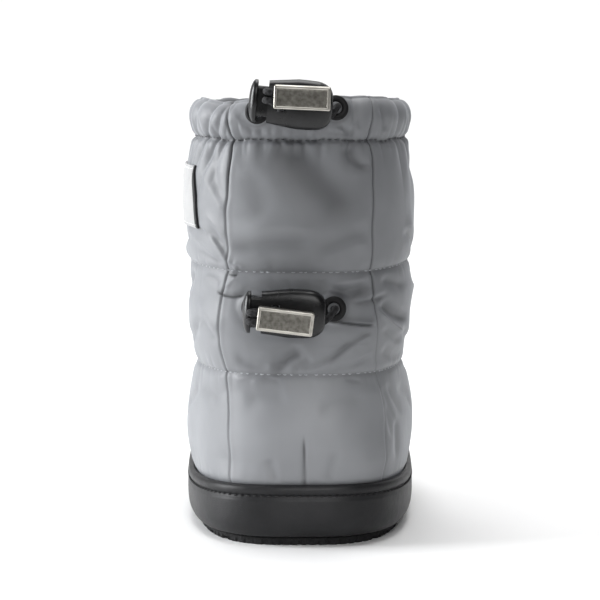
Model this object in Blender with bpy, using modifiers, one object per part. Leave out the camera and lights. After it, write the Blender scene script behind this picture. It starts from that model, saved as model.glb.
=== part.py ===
"""Puffer bootie for a toddler, the left one of a pair.

A quilted, padded shell stands on a flat rubber sole, and a black band covers the joint of the two.
One drawcord closes the collar and one the ankle. Both end in a push-button cord lock at the back, and a
metal clip holds the two cord ends of each.

Metres, +Z up, toe towards +Y, the outer side of the foot towards -X. Lengths along the foot are counted
from the back of the heel, and one empty carries every piece to the middle of the bootie on the floor.
"""
import math
from collections import namedtuple

import bmesh
import bpy
import numpy as np
from mathutils import Matrix, Vector

# Driving dimensions
SOLE_LENGTH = 0.156
BALL_WIDTH = 0.0795
BALL_AT = 0.090
RAND_TOP = 0.0207
RAND_TOP_TOE = 0.0230
LOWER_SEAM = 0.0576
UPPER_SEAM = 0.0917
COLLAR_SEAM = 0.1353
COLLAR_TOP = 0.1495
SHAFT_FRONT = 0.0845
WALL = 0.0026
CLEAR = 0.0003

# Sole
OUTSOLE_THICK = 0.0026
OUTSOLE_OUTSET = 0.0012
OUTSOLE_CHAMFER = 0.0004
TOE_SPRING = 0.0040
TOE_SPRING_FROM = 0.112
INSOLE_THICK = 0.0034
FOOT_Z = OUTSOLE_THICK + CLEAR
LUG_DEPTH = 0.0012
GROOVE_WIDTH = 0.0026
GROOVE_PITCH = 0.0095
LONG_GROOVES_X = (-0.013, 0.013)
LONG_GROOVE_ENDS = (0.014, 0.119)

# Rand: a band of this thickness that lies on the foot of the shell
RAND_THICK = 0.0020
RAND_OUT = CLEAR + RAND_THICK
FABRIC_INSET = RAND_OUT
FOOT_TUCK = 0.0028

# Mesh counts
AROUND = 52
INNER_RINGS = 13
EYELET_SEGMENTS = 16

# One row for each section of the shell, from the floor to the collar. Widths are half widths, and the dip
# is how far a section sinks at the sides, between heel and toe.
Section = namedtuple("Section", "back_y back_z front_y front_z half_width side_y back_power front_power dip")
HALF_FOOT = BALL_WIDTH / 2 - FABRIC_INSET
TOE_Y = SOLE_LENGTH - FABRIC_INSET
SECTIONS = (
    Section(FABRIC_INSET + FOOT_TUCK, FOOT_Z, TOE_Y - FOOT_TUCK, FOOT_Z,
            HALF_FOOT - FOOT_TUCK, BALL_AT, 3.2, 2.3, 0.0),
    Section(FABRIC_INSET, 0.0080, TOE_Y, 0.0080, HALF_FOOT, BALL_AT, 3.2, 2.3, 0.0012),
    Section(FABRIC_INSET, RAND_TOP, TOE_Y, RAND_TOP_TOE, HALF_FOOT, BALL_AT, 3.2, 2.3, 0.0036),
    Section(0.0024, 0.0310, 0.1520, 0.0330, 0.0367, 0.086, 3.1, 2.25, 0.0026),
    Section(0.0028, 0.0400, 0.1455, 0.0425, 0.0358, 0.080, 2.95, 2.2, 0.0015),
    Section(0.0034, 0.0490, 0.1305, 0.0500, 0.0354, 0.070, 2.8, 2.1, 0.0005),
    Section(0.0040, LOWER_SEAM, 0.1100, 0.0565, 0.0353, 0.060, 2.7, 2.0, 0.0),
    Section(0.0042, 0.0680, 0.0945, 0.0650, 0.0355, 0.053, 2.6, 2.05, -0.0003),
    Section(0.0042, 0.0790, 0.0865, 0.0770, 0.0358, 0.048, 2.55, 2.1, -0.0008),
    Section(0.0042, UPPER_SEAM, SHAFT_FRONT, UPPER_SEAM - 0.0010, 0.0366, 0.0455, 2.5, 2.15, -0.0014),
    Section(0.0040, 0.1130, SHAFT_FRONT, 0.1120, 0.0364, 0.045, 2.45, 2.2, -0.0007),
    Section(0.0042, COLLAR_SEAM, SHAFT_FRONT, COLLAR_SEAM - 0.0010, 0.0358, 0.0445, 2.45, 2.2, 0.0),
    Section(0.0043, 0.1440, SHAFT_FRONT - 0.0002, 0.1415, 0.0356, 0.0445, 2.45, 2.2, 0.0),
    Section(0.0058, COLLAR_TOP, SHAFT_FRONT - 0.0020, COLLAR_TOP - 0.0045, 0.0339, 0.0445, 2.45, 2.2, 0.0),
)
RAND_ROW = 2
LOWER_SEAM_ROW = 6
UPPER_SEAM_ROW = 9
COLLAR_SEAM_ROW = 11
RIM_ROW = 13
STEPS_IN_ROW = (2, 1, 2, 2, 2, 2, 2, 2, 2, 3, 3, 3, 3)
RIM_CROWN = 0.0011

# One row for each puffed ring between two seams
Channel = namedtuple("Channel", "low_row high_row puff")
CHANNELS = (
    Channel(RAND_ROW, LOWER_SEAM_ROW, 0.0020),
    Channel(LOWER_SEAM_ROW, UPPER_SEAM_ROW, 0.0019),
    Channel(UPPER_SEAM_ROW, COLLAR_SEAM_ROW, 0.0023),
    Channel(COLLAR_SEAM_ROW, RIM_ROW, 0.0019),
)
PUFF_ROUNDNESS = 0.7

# Profile of the rand from its foot over the top edge and down its inside
RandEdge = namedtuple("RandEdge", "height outset")
STITCH_HEIGHT = RAND_TOP - 0.0032
RAND_PROFILE = (
    RandEdge(FOOT_Z, RAND_OUT - 0.0006),
    RandEdge(0.0042, RAND_OUT),
    RandEdge(0.0062, RAND_OUT),
    RandEdge(0.0090, RAND_OUT),
    RandEdge(STITCH_HEIGHT - 0.0008, RAND_OUT),
    RandEdge(STITCH_HEIGHT, RAND_OUT - 0.0006),
    RandEdge(STITCH_HEIGHT + 0.0007, RAND_OUT - 0.0002),
    RandEdge(RAND_TOP - 0.0010, RAND_OUT - 0.0002),
    RandEdge(RAND_TOP - 0.0001, RAND_OUT - 0.0007),
    RandEdge(RAND_TOP, CLEAR),
    RandEdge(0.0080, CLEAR),
    RandEdge(0.0052, CLEAR),
    RandEdge(FOOT_Z, CLEAR),
)

# Side label: height of its lower and upper edge, its rear and front edge along the foot at the top, and how
# much further back the lower edge is
LABEL_Z = (0.1047, 0.1257)
LABEL_Y = (0.0222, 0.0500)
LABEL_LEAN = 0.0028
LABEL_THICK = 0.0007
LABEL_ROWS = 6
LABEL_COLUMNS = 9

# Drawcords and eyelets
CORD_RADIUS = 0.0011
CORD_POINTS = 24
EYELET_RING = 0.00315
EYELET_EDGE = 0.0011
EYELET_FLATNESS = 0.5
EYELET_HOLE = 0.0020
EYELET_HOLE_DEPTH = 0.0022

# Cord locks, in their own frame: X along the barrel, -Y away from the bootie, Z up
LOCK_LENGTH = 0.0212
LOCK_DEPTH = 0.0078
LOCK_BACK_Y = -0.0009
LOCK_MOUTH = -LOCK_LENGTH / 2
LOCK_SIDES = 20
LOCK_POWER = 2.8
BarrelRing = namedtuple("BarrelRing", "x half_height half_depth")
BARREL = (
    BarrelRing(LOCK_MOUTH, 0.0070, 0.0034),
    BarrelRing(LOCK_MOUTH + 0.0008, 0.0077, LOCK_DEPTH / 2),
    BarrelRing(-0.0030, 0.0081, LOCK_DEPTH / 2),
    BarrelRing(0.0030, 0.0081, LOCK_DEPTH / 2),
    BarrelRing(0.0066, 0.0077, 0.0038),
    BarrelRing(0.0090, 0.0064, 0.0035),
    BarrelRing(0.0102, 0.0046, 0.0029),
    BarrelRing(LOCK_LENGTH / 2, 0.0024, 0.0017),
)
PRESS = 0.0030
BUTTON_GAP = PRESS + 0.0004
BUTTON_THICK = 0.0028
BUTTON_HEIGHT = 0.0142
BUTTON_DEPTH = 0.0076
BUTTON_EDGE = 0.0008
STEM_HEIGHT = 0.0100
STEM_DEPTH = 0.0042
STEM_EDGE = 0.0009
STEM_REACH = 0.0115
BORE_REACH = STEM_REACH + PRESS + 0.0004
STRAND_APART = 0.0029
SLOT_X = LOCK_MOUTH + 0.0046
SLOT_WIDTH = 2 * CORD_RADIUS + 2 * CLEAR
SLOT_HEIGHT = STRAND_APART + 2 * CORD_RADIUS + 2 * CLEAR

# Clips on the cord ends
CLIP_LENGTH = 0.0184
CLIP_HEIGHT = 0.0078
CLIP_THICK = 0.0040
CLIP_EDGE = 0.0005
CLIP_RIM = 0.0013
CLIP_RECESS = 0.0004
CLIP_SOCKET = 0.0030
CLIP_MOUTH = 2 * CORD_RADIUS + 0.0006
LOOP_RADIUS = 0.0018
LOOP_RUN_Y = -LOCK_DEPTH / 2 - 0.0018
CLIP_Y = LOOP_RUN_Y - 2 * LOOP_RADIUS
CLIP_PAST_LOOP = 0.0008

# Route of the strands: from inside the eyelet outwards, then behind the lock on its way to the slot
EYELET_REACHES = (-0.0014, 0.0010, 0.0032)
BEHIND_LOCK = LOCK_DEPTH / 2 + CORD_RADIUS + 0.0004
BackRun = namedtuple("BackRun", "x further_behind z")
BACK_RUNS = {
    "left": (BackRun(-0.0100, 0.0, 0.0010),),
    "right": (
        BackRun(0.0095, -0.0006, -0.0034),
        BackRun(0.0030, 0.0002, -0.0042),
        BackRun(-0.0030, 0.0001, -0.0030),
    ),
}
SLOT_LEAD = 0.0006
LOOP_LEAD = 0.0009
LOOP_TURNS = (135, 180, 225)
RISE_AT_LEAD = 0.3
RISE_AT_LOOP = 0.7

# One row for each lock: where it hangs, how it is turned, its clip and its eyelets
Lock = namedtuple("Lock", "name x z roll clip_x clip_z clip_roll left_eyelet right_eyelet")
LOCKS = (
    Lock("collar", 0.0001, 0.1476, 5.0, -0.0088, 0.0022, -2.5, (-0.0138, 0.1446), (0.0116, 0.1456)),
    Lock("ankle", -0.0021, 0.0792, 2.0, -0.0118, -0.0008, 5.0, (-0.0152, 0.0800), (0.0110, 0.0798)),
)

# Back of the clips, which reach furthest behind the heel, and the middle of the whole length
LOCK_CENTRE_Y = LOCK_BACK_Y - LOCK_DEPTH / 2
REACH_Y = LOCK_CENTRE_Y + CLIP_Y - CLIP_THICK / 2
MIDDLE_Y = (SOLE_LENGTH + REACH_Y) / 2


# The shell's own function

def toe_lift(y):
    """Rise of the sole line at a distance from the heel."""
    share = np.clip((np.asarray(y) - TOE_SPRING_FROM) / (SOLE_LENGTH - TOE_SPRING_FROM), 0, None)
    return TOE_SPRING * share ** 2


def section_at(levels):
    """Section values at fractional rows, on a smooth curve through the rows of the table."""
    table = np.array(SECTIONS)
    levels = np.asarray(levels, float)
    row = np.clip(levels.astype(int), 0, len(table) - 2)
    t = (levels - row)[:, None]
    before = table[np.maximum(row - 1, 0)]
    low = table[row]
    high = table[row + 1]
    after = table[np.minimum(row + 2, len(table) - 1)]
    return 0.5 * (2 * low + (high - before) * t + (2 * before - 5 * low + 4 * high - after) * t ** 2
                  + (3 * low - before - 3 * high + after) * t ** 3)


def base_points(angles, levels):
    """Points of the unpuffed shell: a ring for each level, angle 0 at the back and a half turn at the toe."""
    columns = section_at(levels).T[:, :, None]
    back_y, back_z, front_y, front_z, half, side_y, back_power, front_power, dip = columns
    cosine = np.cos(angles)[None, :]
    sine = np.sin(angles)[None, :]
    power = np.where(cosine > 0, back_power, front_power)
    reach = np.where(cosine > 0, side_y - back_y, front_y - side_y)
    x = half * np.sign(sine) * np.abs(sine) ** (2 / power)
    y = side_y - reach * np.sign(cosine) * np.abs(cosine) ** (2 / power)
    share = (y - back_y) / (front_y - back_y)
    z = back_z + (front_z - back_z) * share - dip * np.sin(np.pi * share) + toe_lift(y)
    return np.stack([x, y, z], axis=-1)


def base_normals(angles, levels):
    """Outward normals of the unpuffed shell."""
    step = 1e-3
    angles = np.asarray(angles, float)
    levels = np.asarray(levels, float)
    around = base_points(angles + step, levels) - base_points(angles - step, levels)
    upper = np.minimum(levels + step, len(SECTIONS) - 1)
    lower = np.maximum(levels - step, 0)
    up = base_points(angles, upper) - base_points(angles, lower)
    normal = np.cross(around, up)
    return normal / np.linalg.norm(normal, axis=-1, keepdims=True)


def puff_at(levels):
    """Height of the padding over the seams at fractional rows."""
    levels = np.asarray(levels, float)
    puff = np.zeros_like(levels)
    for channel in CHANNELS:
        share = (levels - channel.low_row) / (channel.high_row - channel.low_row)
        inside = (share > 0) & (share < 1)
        puff += np.where(inside, channel.puff * np.sin(np.pi * np.clip(share, 0, 1)) ** PUFF_ROUNDNESS, 0)
    return puff


def shell_points(angles, levels, outset=0.0, puffed=True):
    """Points at a distance from the shell's outer face."""
    offset = np.zeros(len(levels)) + outset
    if puffed:
        offset = offset + puff_at(levels)
    return base_points(angles, levels) + base_normals(angles, levels) * offset[:, None, None]


def foot_ring(angles, outset, height=FOOT_Z):
    """The shell's lowest ring moved sideways, at a height over the floor."""
    ring = base_points(angles, [0.0])[0]
    step = 1e-3
    along = base_points(angles + step, [0.0])[0] - base_points(angles - step, [0.0])[0]
    sideways = np.stack([along[:, 1], -along[:, 0]], axis=-1)
    sideways /= np.linalg.norm(sideways, axis=-1, keepdims=True)
    moved = ring[:, :2] + sideways * outset
    return np.column_stack([moved, height + toe_lift(moved[:, 1])])


def level_at_back(height):
    """Row at which the back of the shell has this height."""
    levels = np.linspace(0, RIM_ROW, 400)
    return float(np.interp(height, section_at(levels)[:, 1], levels))


def angle_at_x(x, level):
    """Angle at which the back half of a ring has this sideways place."""
    angles = np.linspace(-math.pi / 2, math.pi / 2, 400)
    return float(np.interp(x, shell_points(angles, [level])[0, :, 0], angles))


def back_place(x, z):
    """Point and outward normal on the back of the shell."""
    level = level_at_back(z)
    angle = angle_at_x(x, level)
    point = shell_points(np.array([angle]), np.array([level]))[0, 0]
    normal = base_normals(np.array([angle]), np.array([level]))[0, 0]
    return Vector(point), Vector(normal)


# Building blocks

def material(name, colour, roughness, metallic=0.0):
    """A Principled material."""
    made = bpy.data.materials.new(name)
    made.use_nodes = True
    shader = made.node_tree.nodes["Principled BSDF"]
    shader.inputs["Base Color"].default_value = (*colour, 1.0)
    shader.inputs["Roughness"].default_value = roughness
    shader.inputs["Metallic"].default_value = metallic
    return made


def put(name, mesh, parent, finish):
    """A named object of a mesh, in the bootie's collection, carried by a parent."""
    piece = bpy.data.objects.new(name, mesh)
    PARTS.objects.link(piece)
    piece.parent = parent
    if finish:
        mesh.materials.append(finish)
        mesh.shade_smooth()
        mesh.set_sharp_from_angle(angle=math.radians(40))
    return piece


def make_cutter(piece):
    """Turns an object into a cutter."""
    PARTS.objects.unlink(piece)
    CUTTERS.objects.link(piece)
    piece.hide_render = True
    piece.display_type = "WIRE"
    return piece


def mesh_of(bm, name):
    """A mesh from a bmesh, with its faces pointing out."""
    bmesh.ops.recalc_face_normals(bm, faces=bm.faces)
    mesh = bpy.data.meshes.new(name)
    bm.to_mesh(mesh)
    bm.free()
    return mesh


def add_rows(bm, rows):
    """Vertices for rows of points."""
    return [[bm.verts.new(point) for point in row] for row in rows]


def skin(bm, rows, round_row, round_rows):
    """Faces between rows of vertices, closed around a row and from the last row to the first if asked."""
    for k in range(len(rows) if round_rows else len(rows) - 1):
        low = rows[k]
        high = rows[(k + 1) % len(rows)]
        for i in range(len(low) if round_row else len(low) - 1):
            j = (i + 1) % len(low)
            bm.faces.new((low[i], low[j], high[j], high[i]))


def hollow_ring(name, rings):
    """A tube-like solid whose rings run up its outside and down its inside."""
    bm = bmesh.new()
    skin(bm, add_rows(bm, rings), True, True)
    return mesh_of(bm, name)


def plate(name, rings):
    """A solid between a lowest and a highest ring, closed by rungs across the foot."""
    bm = bmesh.new()
    rows = add_rows(bm, rings)
    skin(bm, rows, True, False)
    for row in (rows[0], rows[-1]):
        count = len(row)
        for i in range(count // 2):
            rung = [row[i], row[i + 1], row[count - i - 1], row[-i]]
            bm.faces.new(list(dict.fromkeys(rung)))
    return mesh_of(bm, name)


def slab(name, outer, inner):
    """A curved patch with thickness between two grids of points."""
    bm = bmesh.new()
    front = add_rows(bm, outer)
    back = add_rows(bm, inner)
    skin(bm, front, False, False)
    skin(bm, back, False, False)
    for first, second in ((front[0], back[0]), (front[-1], back[-1])):
        skin(bm, [first, second], False, False)
    for side in (0, -1):
        skin(bm, [[row[side] for row in front], [row[side] for row in back]], False, False)
    return mesh_of(bm, name)


def loft(name, rings):
    """A solid through rings, with a flat face at each end."""
    bm = bmesh.new()
    rows = add_rows(bm, rings)
    skin(bm, rows, True, False)
    bm.faces.new(rows[0])
    bm.faces.new(rows[-1])
    return mesh_of(bm, name)


def box(name, size, centre):
    """A box of a size around a point."""
    bm = bmesh.new()
    bmesh.ops.create_cube(bm, size=1.0, matrix=Matrix.Translation(centre) @ Matrix.Diagonal((*size, 1.0)))
    return mesh_of(bm, name)


def rod(name, radius, length, matrix, segments=16):
    """A cylinder along a matrix's Z axis, centred on its origin."""
    bm = bmesh.new()
    bmesh.ops.create_cone(bm, cap_ends=True, segments=segments, radius1=radius, radius2=radius,
                          depth=length, matrix=matrix)
    return mesh_of(bm, name)


def bevel(piece, width, segments):
    """Rounds an object's edges."""
    rounding = piece.modifiers.new("rounding", "BEVEL")
    rounding.width = width
    rounding.segments = segments
    rounding.limit_method = "ANGLE"


def boolean(piece, other, operation):
    """Cuts or joins an object with another."""
    modifier = piece.modifiers.new(other.name, "BOOLEAN")
    modifier.operation = operation
    modifier.object = other


def smooth_path(points, count):
    """Evenly spaced points on a smooth curve through a route."""
    points = np.array(points)
    ends = np.vstack([2 * points[0] - points[1], points, 2 * points[-1] - points[-2]])
    fine = []
    for k in range(1, len(ends) - 2):
        for t in np.linspace(0, 1, 20, endpoint=False):
            a, b, c, d = ends[k - 1:k + 3]
            fine.append(0.5 * (2 * b + (c - a) * t + (2 * a - 5 * b + 4 * c - d) * t ** 2
                               + (3 * b - a - 3 * c + d) * t ** 3))
    fine = np.array(fine + [points[-1]])
    length = np.concatenate([[0], np.cumsum(np.linalg.norm(np.diff(fine, axis=0), axis=1))])
    wanted = np.linspace(0, length[-1], count)
    return np.column_stack([np.interp(wanted, length, fine[:, k]) for k in range(3)])


# The pieces

def make_outsole(root, finish):
    """Rubber plate with toe spring, cut into lugs from below."""
    angles = np.linspace(0, 2 * math.pi, AROUND, endpoint=False)
    piece = put("outsole", plate("outsole", [
        foot_ring(angles, OUTSOLE_OUTSET - OUTSOLE_CHAMFER, 0.0),
        foot_ring(angles, OUTSOLE_OUTSET, OUTSOLE_CHAMFER),
        foot_ring(angles, OUTSOLE_OUTSET, OUTSOLE_THICK),
    ]), root, finish)
    bm = bmesh.new()
    across = int((SOLE_LENGTH - GROOVE_PITCH) / GROOVE_PITCH)
    for k in range(1, across):
        y = k * GROOVE_PITCH + GROOVE_PITCH / 2
        top = float(toe_lift(y)) + LUG_DEPTH
        size = (BALL_WIDTH, GROOVE_WIDTH, 2 * LUG_DEPTH)
        bmesh.ops.create_cube(bm, size=1.0, matrix=Matrix.Translation((0, y, top - LUG_DEPTH))
                              @ Matrix.Diagonal((*size, 1.0)))
    grooves = make_cutter(put("cross_grooves", mesh_of(bm, "cross_grooves"), root, None))
    boolean(piece, grooves, "DIFFERENCE")
    bm = bmesh.new()
    run = LONG_GROOVE_ENDS[1] - LONG_GROOVE_ENDS[0]
    for x in LONG_GROOVES_X:
        bmesh.ops.create_cube(bm, size=1.0, matrix=Matrix.Translation((x, sum(LONG_GROOVE_ENDS) / 2, 0))
                              @ Matrix.Diagonal((GROOVE_WIDTH, run, 2 * LUG_DEPTH, 1.0)))
    long_grooves = make_cutter(put("long_grooves", mesh_of(bm, "long_grooves"), root, None))
    boolean(piece, long_grooves, "DIFFERENCE")


def make_insole(root, finish):
    """Soft sheet on the outsole."""
    angles = np.linspace(0, 2 * math.pi, AROUND, endpoint=False)
    outset = -WALL - CLEAR
    put("insole", plate("insole", [
        foot_ring(angles, outset, FOOT_Z),
        foot_ring(angles, outset, FOOT_Z + INSOLE_THICK),
    ]), root, finish)


def make_upper(root, finish):
    """Hollow padded shell: puffed outside, smooth inside, with a rolled rim."""
    angles = np.linspace(0, 2 * math.pi, AROUND, endpoint=False)
    outer_levels = [0.0]
    for row, steps in enumerate(STEPS_IN_ROW):
        outer_levels += [row + (k + 1) / steps for k in range(steps)]
    outer = list(shell_points(angles, np.array(outer_levels)))
    outer[0] = foot_ring(angles, 0.0)
    inner_levels = np.linspace(RIM_ROW, 0.5, INNER_RINGS)
    inner = list(shell_points(angles, inner_levels, -WALL, puffed=False))
    inner.append(foot_ring(angles, -WALL))
    crown = shell_points(angles, np.array([RIM_ROW], float), -WALL / 2, puffed=False)[0]
    crown[:, 2] += RIM_CROWN
    piece = put("upper", hollow_ring("upper", outer + [crown] + inner), root, finish)
    for lock in LOCKS:
        for side, place in (("left", lock.left_eyelet), ("right", lock.right_eyelet)):
            point, normal = back_place(*place)
            turn = normal.to_track_quat("Z", "Y").to_matrix().to_4x4()
            hole = rod("hole", EYELET_HOLE, 2 * EYELET_HOLE_DEPTH, Matrix.Translation(point) @ turn)
            cutter = make_cutter(put(f"{lock.name}_hole_{side}", hole, root, None))
            boolean(piece, cutter, "DIFFERENCE")


def make_rand(root, finish):
    """Band around the foot with a stitched, turned top edge."""
    angles = np.linspace(0, 2 * math.pi, AROUND, endpoint=False)
    levels = np.linspace(0, RAND_ROW, 200)
    heights = section_at(levels)[:, 1]
    rings = []
    for edge in RAND_PROFILE:
        if edge.height == FOOT_Z:
            rings.append(foot_ring(angles, edge.outset))
        else:
            level = float(np.interp(edge.height, heights, levels))
            ring = shell_points(angles, np.array([level]), edge.outset, puffed=False)[0]
            floor = FOOT_Z + toe_lift(ring[:, 1])
            ring[:, 2] = np.maximum(ring[:, 2], floor + CLEAR)
            rings.append(ring)
    put("rand", hollow_ring("rand", rings), root, finish)


def make_label(root, finish):
    """Sewn patch on the outer side of the shaft."""
    search = np.linspace(0, math.pi, 400)
    outer = []
    inner = []
    for share in np.linspace(0, 1, LABEL_ROWS):
        level = level_at_back(LABEL_Z[0] + share * (LABEL_Z[1] - LABEL_Z[0]))
        along = shell_points(-search, [level])[0, :, 1]
        ends = np.array(LABEL_Y) - LABEL_LEAN * (1 - share)
        angles = -np.linspace(*np.interp(ends, along, search), LABEL_COLUMNS)
        outer.append(shell_points(angles, [level], CLEAR + LABEL_THICK)[0])
        inner.append(shell_points(angles, [level], CLEAR)[0])
    put("side_label", slab("side_label", outer, inner), root, finish)


def make_eyelet(name, place, root, finish):
    """Pressed ring that lies on the shell."""
    point, normal = back_place(*place)
    bpy.ops.mesh.primitive_torus_add(major_radius=EYELET_RING, minor_radius=EYELET_EDGE,
                                     major_segments=EYELET_SEGMENTS, minor_segments=6)
    torus = bpy.context.object
    mesh = torus.data
    mesh.transform(Matrix.Diagonal((1, 1, EYELET_FLATNESS, 1)))
    bpy.data.objects.remove(torus)
    piece = put(name, mesh, root, finish)
    stand = EYELET_EDGE * EYELET_FLATNESS + CLEAR
    piece.location = point + normal * stand
    piece.rotation_euler = normal.to_track_quat("Z", "Y").to_euler()


def make_barrel(lock, frame, finish):
    """Barrel of a cord lock: a rounded body with a bore for the button's stem and a slot for the cords."""
    turn = np.linspace(0, 2 * math.pi, LOCK_SIDES, endpoint=False)
    rings = []
    for ring in BARREL:
        y = ring.half_depth * np.sign(np.cos(turn)) * np.abs(np.cos(turn)) ** (2 / LOCK_POWER)
        z = ring.half_height * np.sign(np.sin(turn)) * np.abs(np.sin(turn)) ** (2 / LOCK_POWER)
        rings.append(np.column_stack([np.full(LOCK_SIDES, ring.x), y, z]))
    piece = put(f"{lock.name}_lock_body", loft("barrel", rings), frame, finish)
    size = (2 * BORE_REACH, STEM_DEPTH + 2 * CLEAR, STEM_HEIGHT + 2 * CLEAR)
    bore = make_cutter(put(f"{lock.name}_bore", box("bore", size, (LOCK_MOUTH, 0, 0)), frame, None))
    boolean(piece, bore, "DIFFERENCE")
    size = (SLOT_WIDTH, 2 * LOCK_DEPTH, SLOT_HEIGHT)
    slot = make_cutter(put(f"{lock.name}_slot", box("slot", size, (SLOT_X, 0, 0)), frame, None))
    boolean(piece, slot, "DIFFERENCE")


def make_plunger(lock, frame, finish):
    """Push button: an oval thumb plate on a flat stem with a long window for the cords."""
    outer = LOCK_MOUTH - BUTTON_GAP - BUTTON_THICK
    turn = (Matrix.Translation((outer + BUTTON_THICK / 2, 0, 0))
            @ Matrix.Diagonal((1, BUTTON_DEPTH, BUTTON_HEIGHT, 1)) @ Matrix.Rotation(math.pi / 2, 4, "Y"))
    name = f"{lock.name}_lock_plunger"
    piece = put(name, rod("button", 0.5, BUTTON_THICK, turn, 24), frame, finish)
    bevel(piece, BUTTON_EDGE, 2)
    start = outer + BUTTON_THICK - BUTTON_EDGE
    end = LOCK_MOUTH + STEM_REACH
    size = (end - start, STEM_DEPTH, STEM_HEIGHT)
    stem = make_cutter(put(f"{name}_stem", box("stem", size, ((start + end) / 2, 0, 0)), frame, None))
    bevel(stem, STEM_EDGE, 1)
    boolean(piece, stem, "UNION")
    low = SLOT_X - SLOT_WIDTH / 2 - PRESS
    high = SLOT_X + SLOT_WIDTH / 2
    size = (high - low, 2 * LOCK_DEPTH, SLOT_HEIGHT)
    window = make_cutter(put(f"{name}_window", box("window", size, ((low + high) / 2, 0, 0)), frame, None))
    boolean(piece, window, "DIFFERENCE")


def make_clip(lock, frame, finish):
    """Folded metal clip with a sunk face and a socket for the two cord ends."""
    holder = bpy.data.objects.new(f"{lock.name}_clip_place", None)
    PARTS.objects.link(holder)
    holder.parent = frame
    holder.location = (lock.clip_x, CLIP_Y, lock.clip_z)
    holder.rotation_euler = (0, math.radians(lock.clip_roll), 0)
    size = (CLIP_LENGTH, CLIP_THICK, CLIP_HEIGHT)
    piece = put(f"{lock.name}_cord_clip", box("clip", size, (CLIP_LENGTH / 2, 0, 0)), holder, finish)
    bevel(piece, CLIP_EDGE, 2)
    size = (CLIP_LENGTH - 2 * CLIP_RIM, 2 * CLIP_RECESS, CLIP_HEIGHT - 2 * CLIP_RIM)
    centre = (CLIP_LENGTH / 2, -CLIP_THICK / 2, 0)
    face = make_cutter(put(f"{lock.name}_clip_face", box("face", size, centre), holder, None))
    boolean(piece, face, "DIFFERENCE")
    size = (2 * CLIP_SOCKET, CLIP_MOUTH, STRAND_APART + CLIP_MOUTH)
    socket = make_cutter(put(f"{lock.name}_clip_socket", box("socket", size, (0, 0, 0)), holder, None))
    boolean(piece, socket, "DIFFERENCE")


def strand_route(lock, side, frame):
    """Route of one strand in the lock's frame: out of its eyelet, through the slot, round into the clip."""
    outward = 1 if side == "right" else -1
    height = -outward * STRAND_APART / 2
    place = lock.right_eyelet if side == "right" else lock.left_eyelet
    point, normal = back_place(*place)
    to_lock = Matrix.LocRotScale(frame.location, frame.rotation_euler, None).inverted()
    start = [tuple(to_lock @ (point + normal * reach)) for reach in EYELET_REACHES]
    back_run = [(run.x, BEHIND_LOCK + run.further_behind, run.z) for run in BACK_RUNS[side]]
    through = [
        (SLOT_X + outward * SLOT_LEAD, BEHIND_LOCK - CLEAR, height),
        (SLOT_X, LOCK_DEPTH / 4, height),
        (SLOT_X, -LOCK_DEPTH / 2, height),
        (SLOT_X - LOOP_LEAD, LOOP_RUN_Y + CLEAR, height + RISE_AT_LEAD * lock.clip_z),
        (lock.clip_x, LOOP_RUN_Y, height + RISE_AT_LOOP * lock.clip_z),
    ]
    height += lock.clip_z
    loop_x = lock.clip_x - CLIP_PAST_LOOP
    loop_y = LOOP_RUN_Y - LOOP_RADIUS
    for turn in LOOP_TURNS:
        angle = math.radians(turn)
        x = loop_x + LOOP_RADIUS * math.cos(angle)
        y = loop_y + LOOP_RADIUS * math.sin(angle)
        through.append((x, y, height))
    into_clip = [
        (lock.clip_x - CLIP_PAST_LOOP / 2, CLIP_Y, height),
        (lock.clip_x + CLIP_SOCKET - 2 * CLEAR, CLIP_Y, height),
    ]
    return start + back_run + through + into_clip


def make_strand(lock, side, frame, finish):
    """One strand of a drawcord, from its eyelet to the clip."""
    name = f"{lock.name}_cord_{side}"
    path = smooth_path(strand_route(lock, side, frame), CORD_POINTS)
    curve = bpy.data.curves.new(name, "CURVE")
    curve.dimensions = "3D"
    curve.bevel_depth = CORD_RADIUS
    curve.bevel_resolution = 2
    curve.use_fill_caps = True
    spline = curve.splines.new("POLY")
    spline.points.add(len(path) - 1)
    for target, point in zip(spline.points, path):
        target.co = (*point, 1.0)
    curve.materials.append(finish)
    piece = bpy.data.objects.new(name, curve)
    PARTS.objects.link(piece)
    piece.parent = frame


def make_lock(lock, root, plastic, metal, rubber):
    """A cord lock with its button, strands and clip, in its own turned frame."""
    frame = bpy.data.objects.new(f"{lock.name}_lock", None)
    PARTS.objects.link(frame)
    frame.parent = root
    frame.location = (lock.x, LOCK_CENTRE_Y, lock.z)
    frame.rotation_euler = (0, math.radians(lock.roll), 0)
    make_barrel(lock, frame, plastic)
    make_plunger(lock, frame, plastic)
    make_clip(lock, frame, metal)
    for side in ("left", "right"):
        make_strand(lock, side, frame, rubber)


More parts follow.
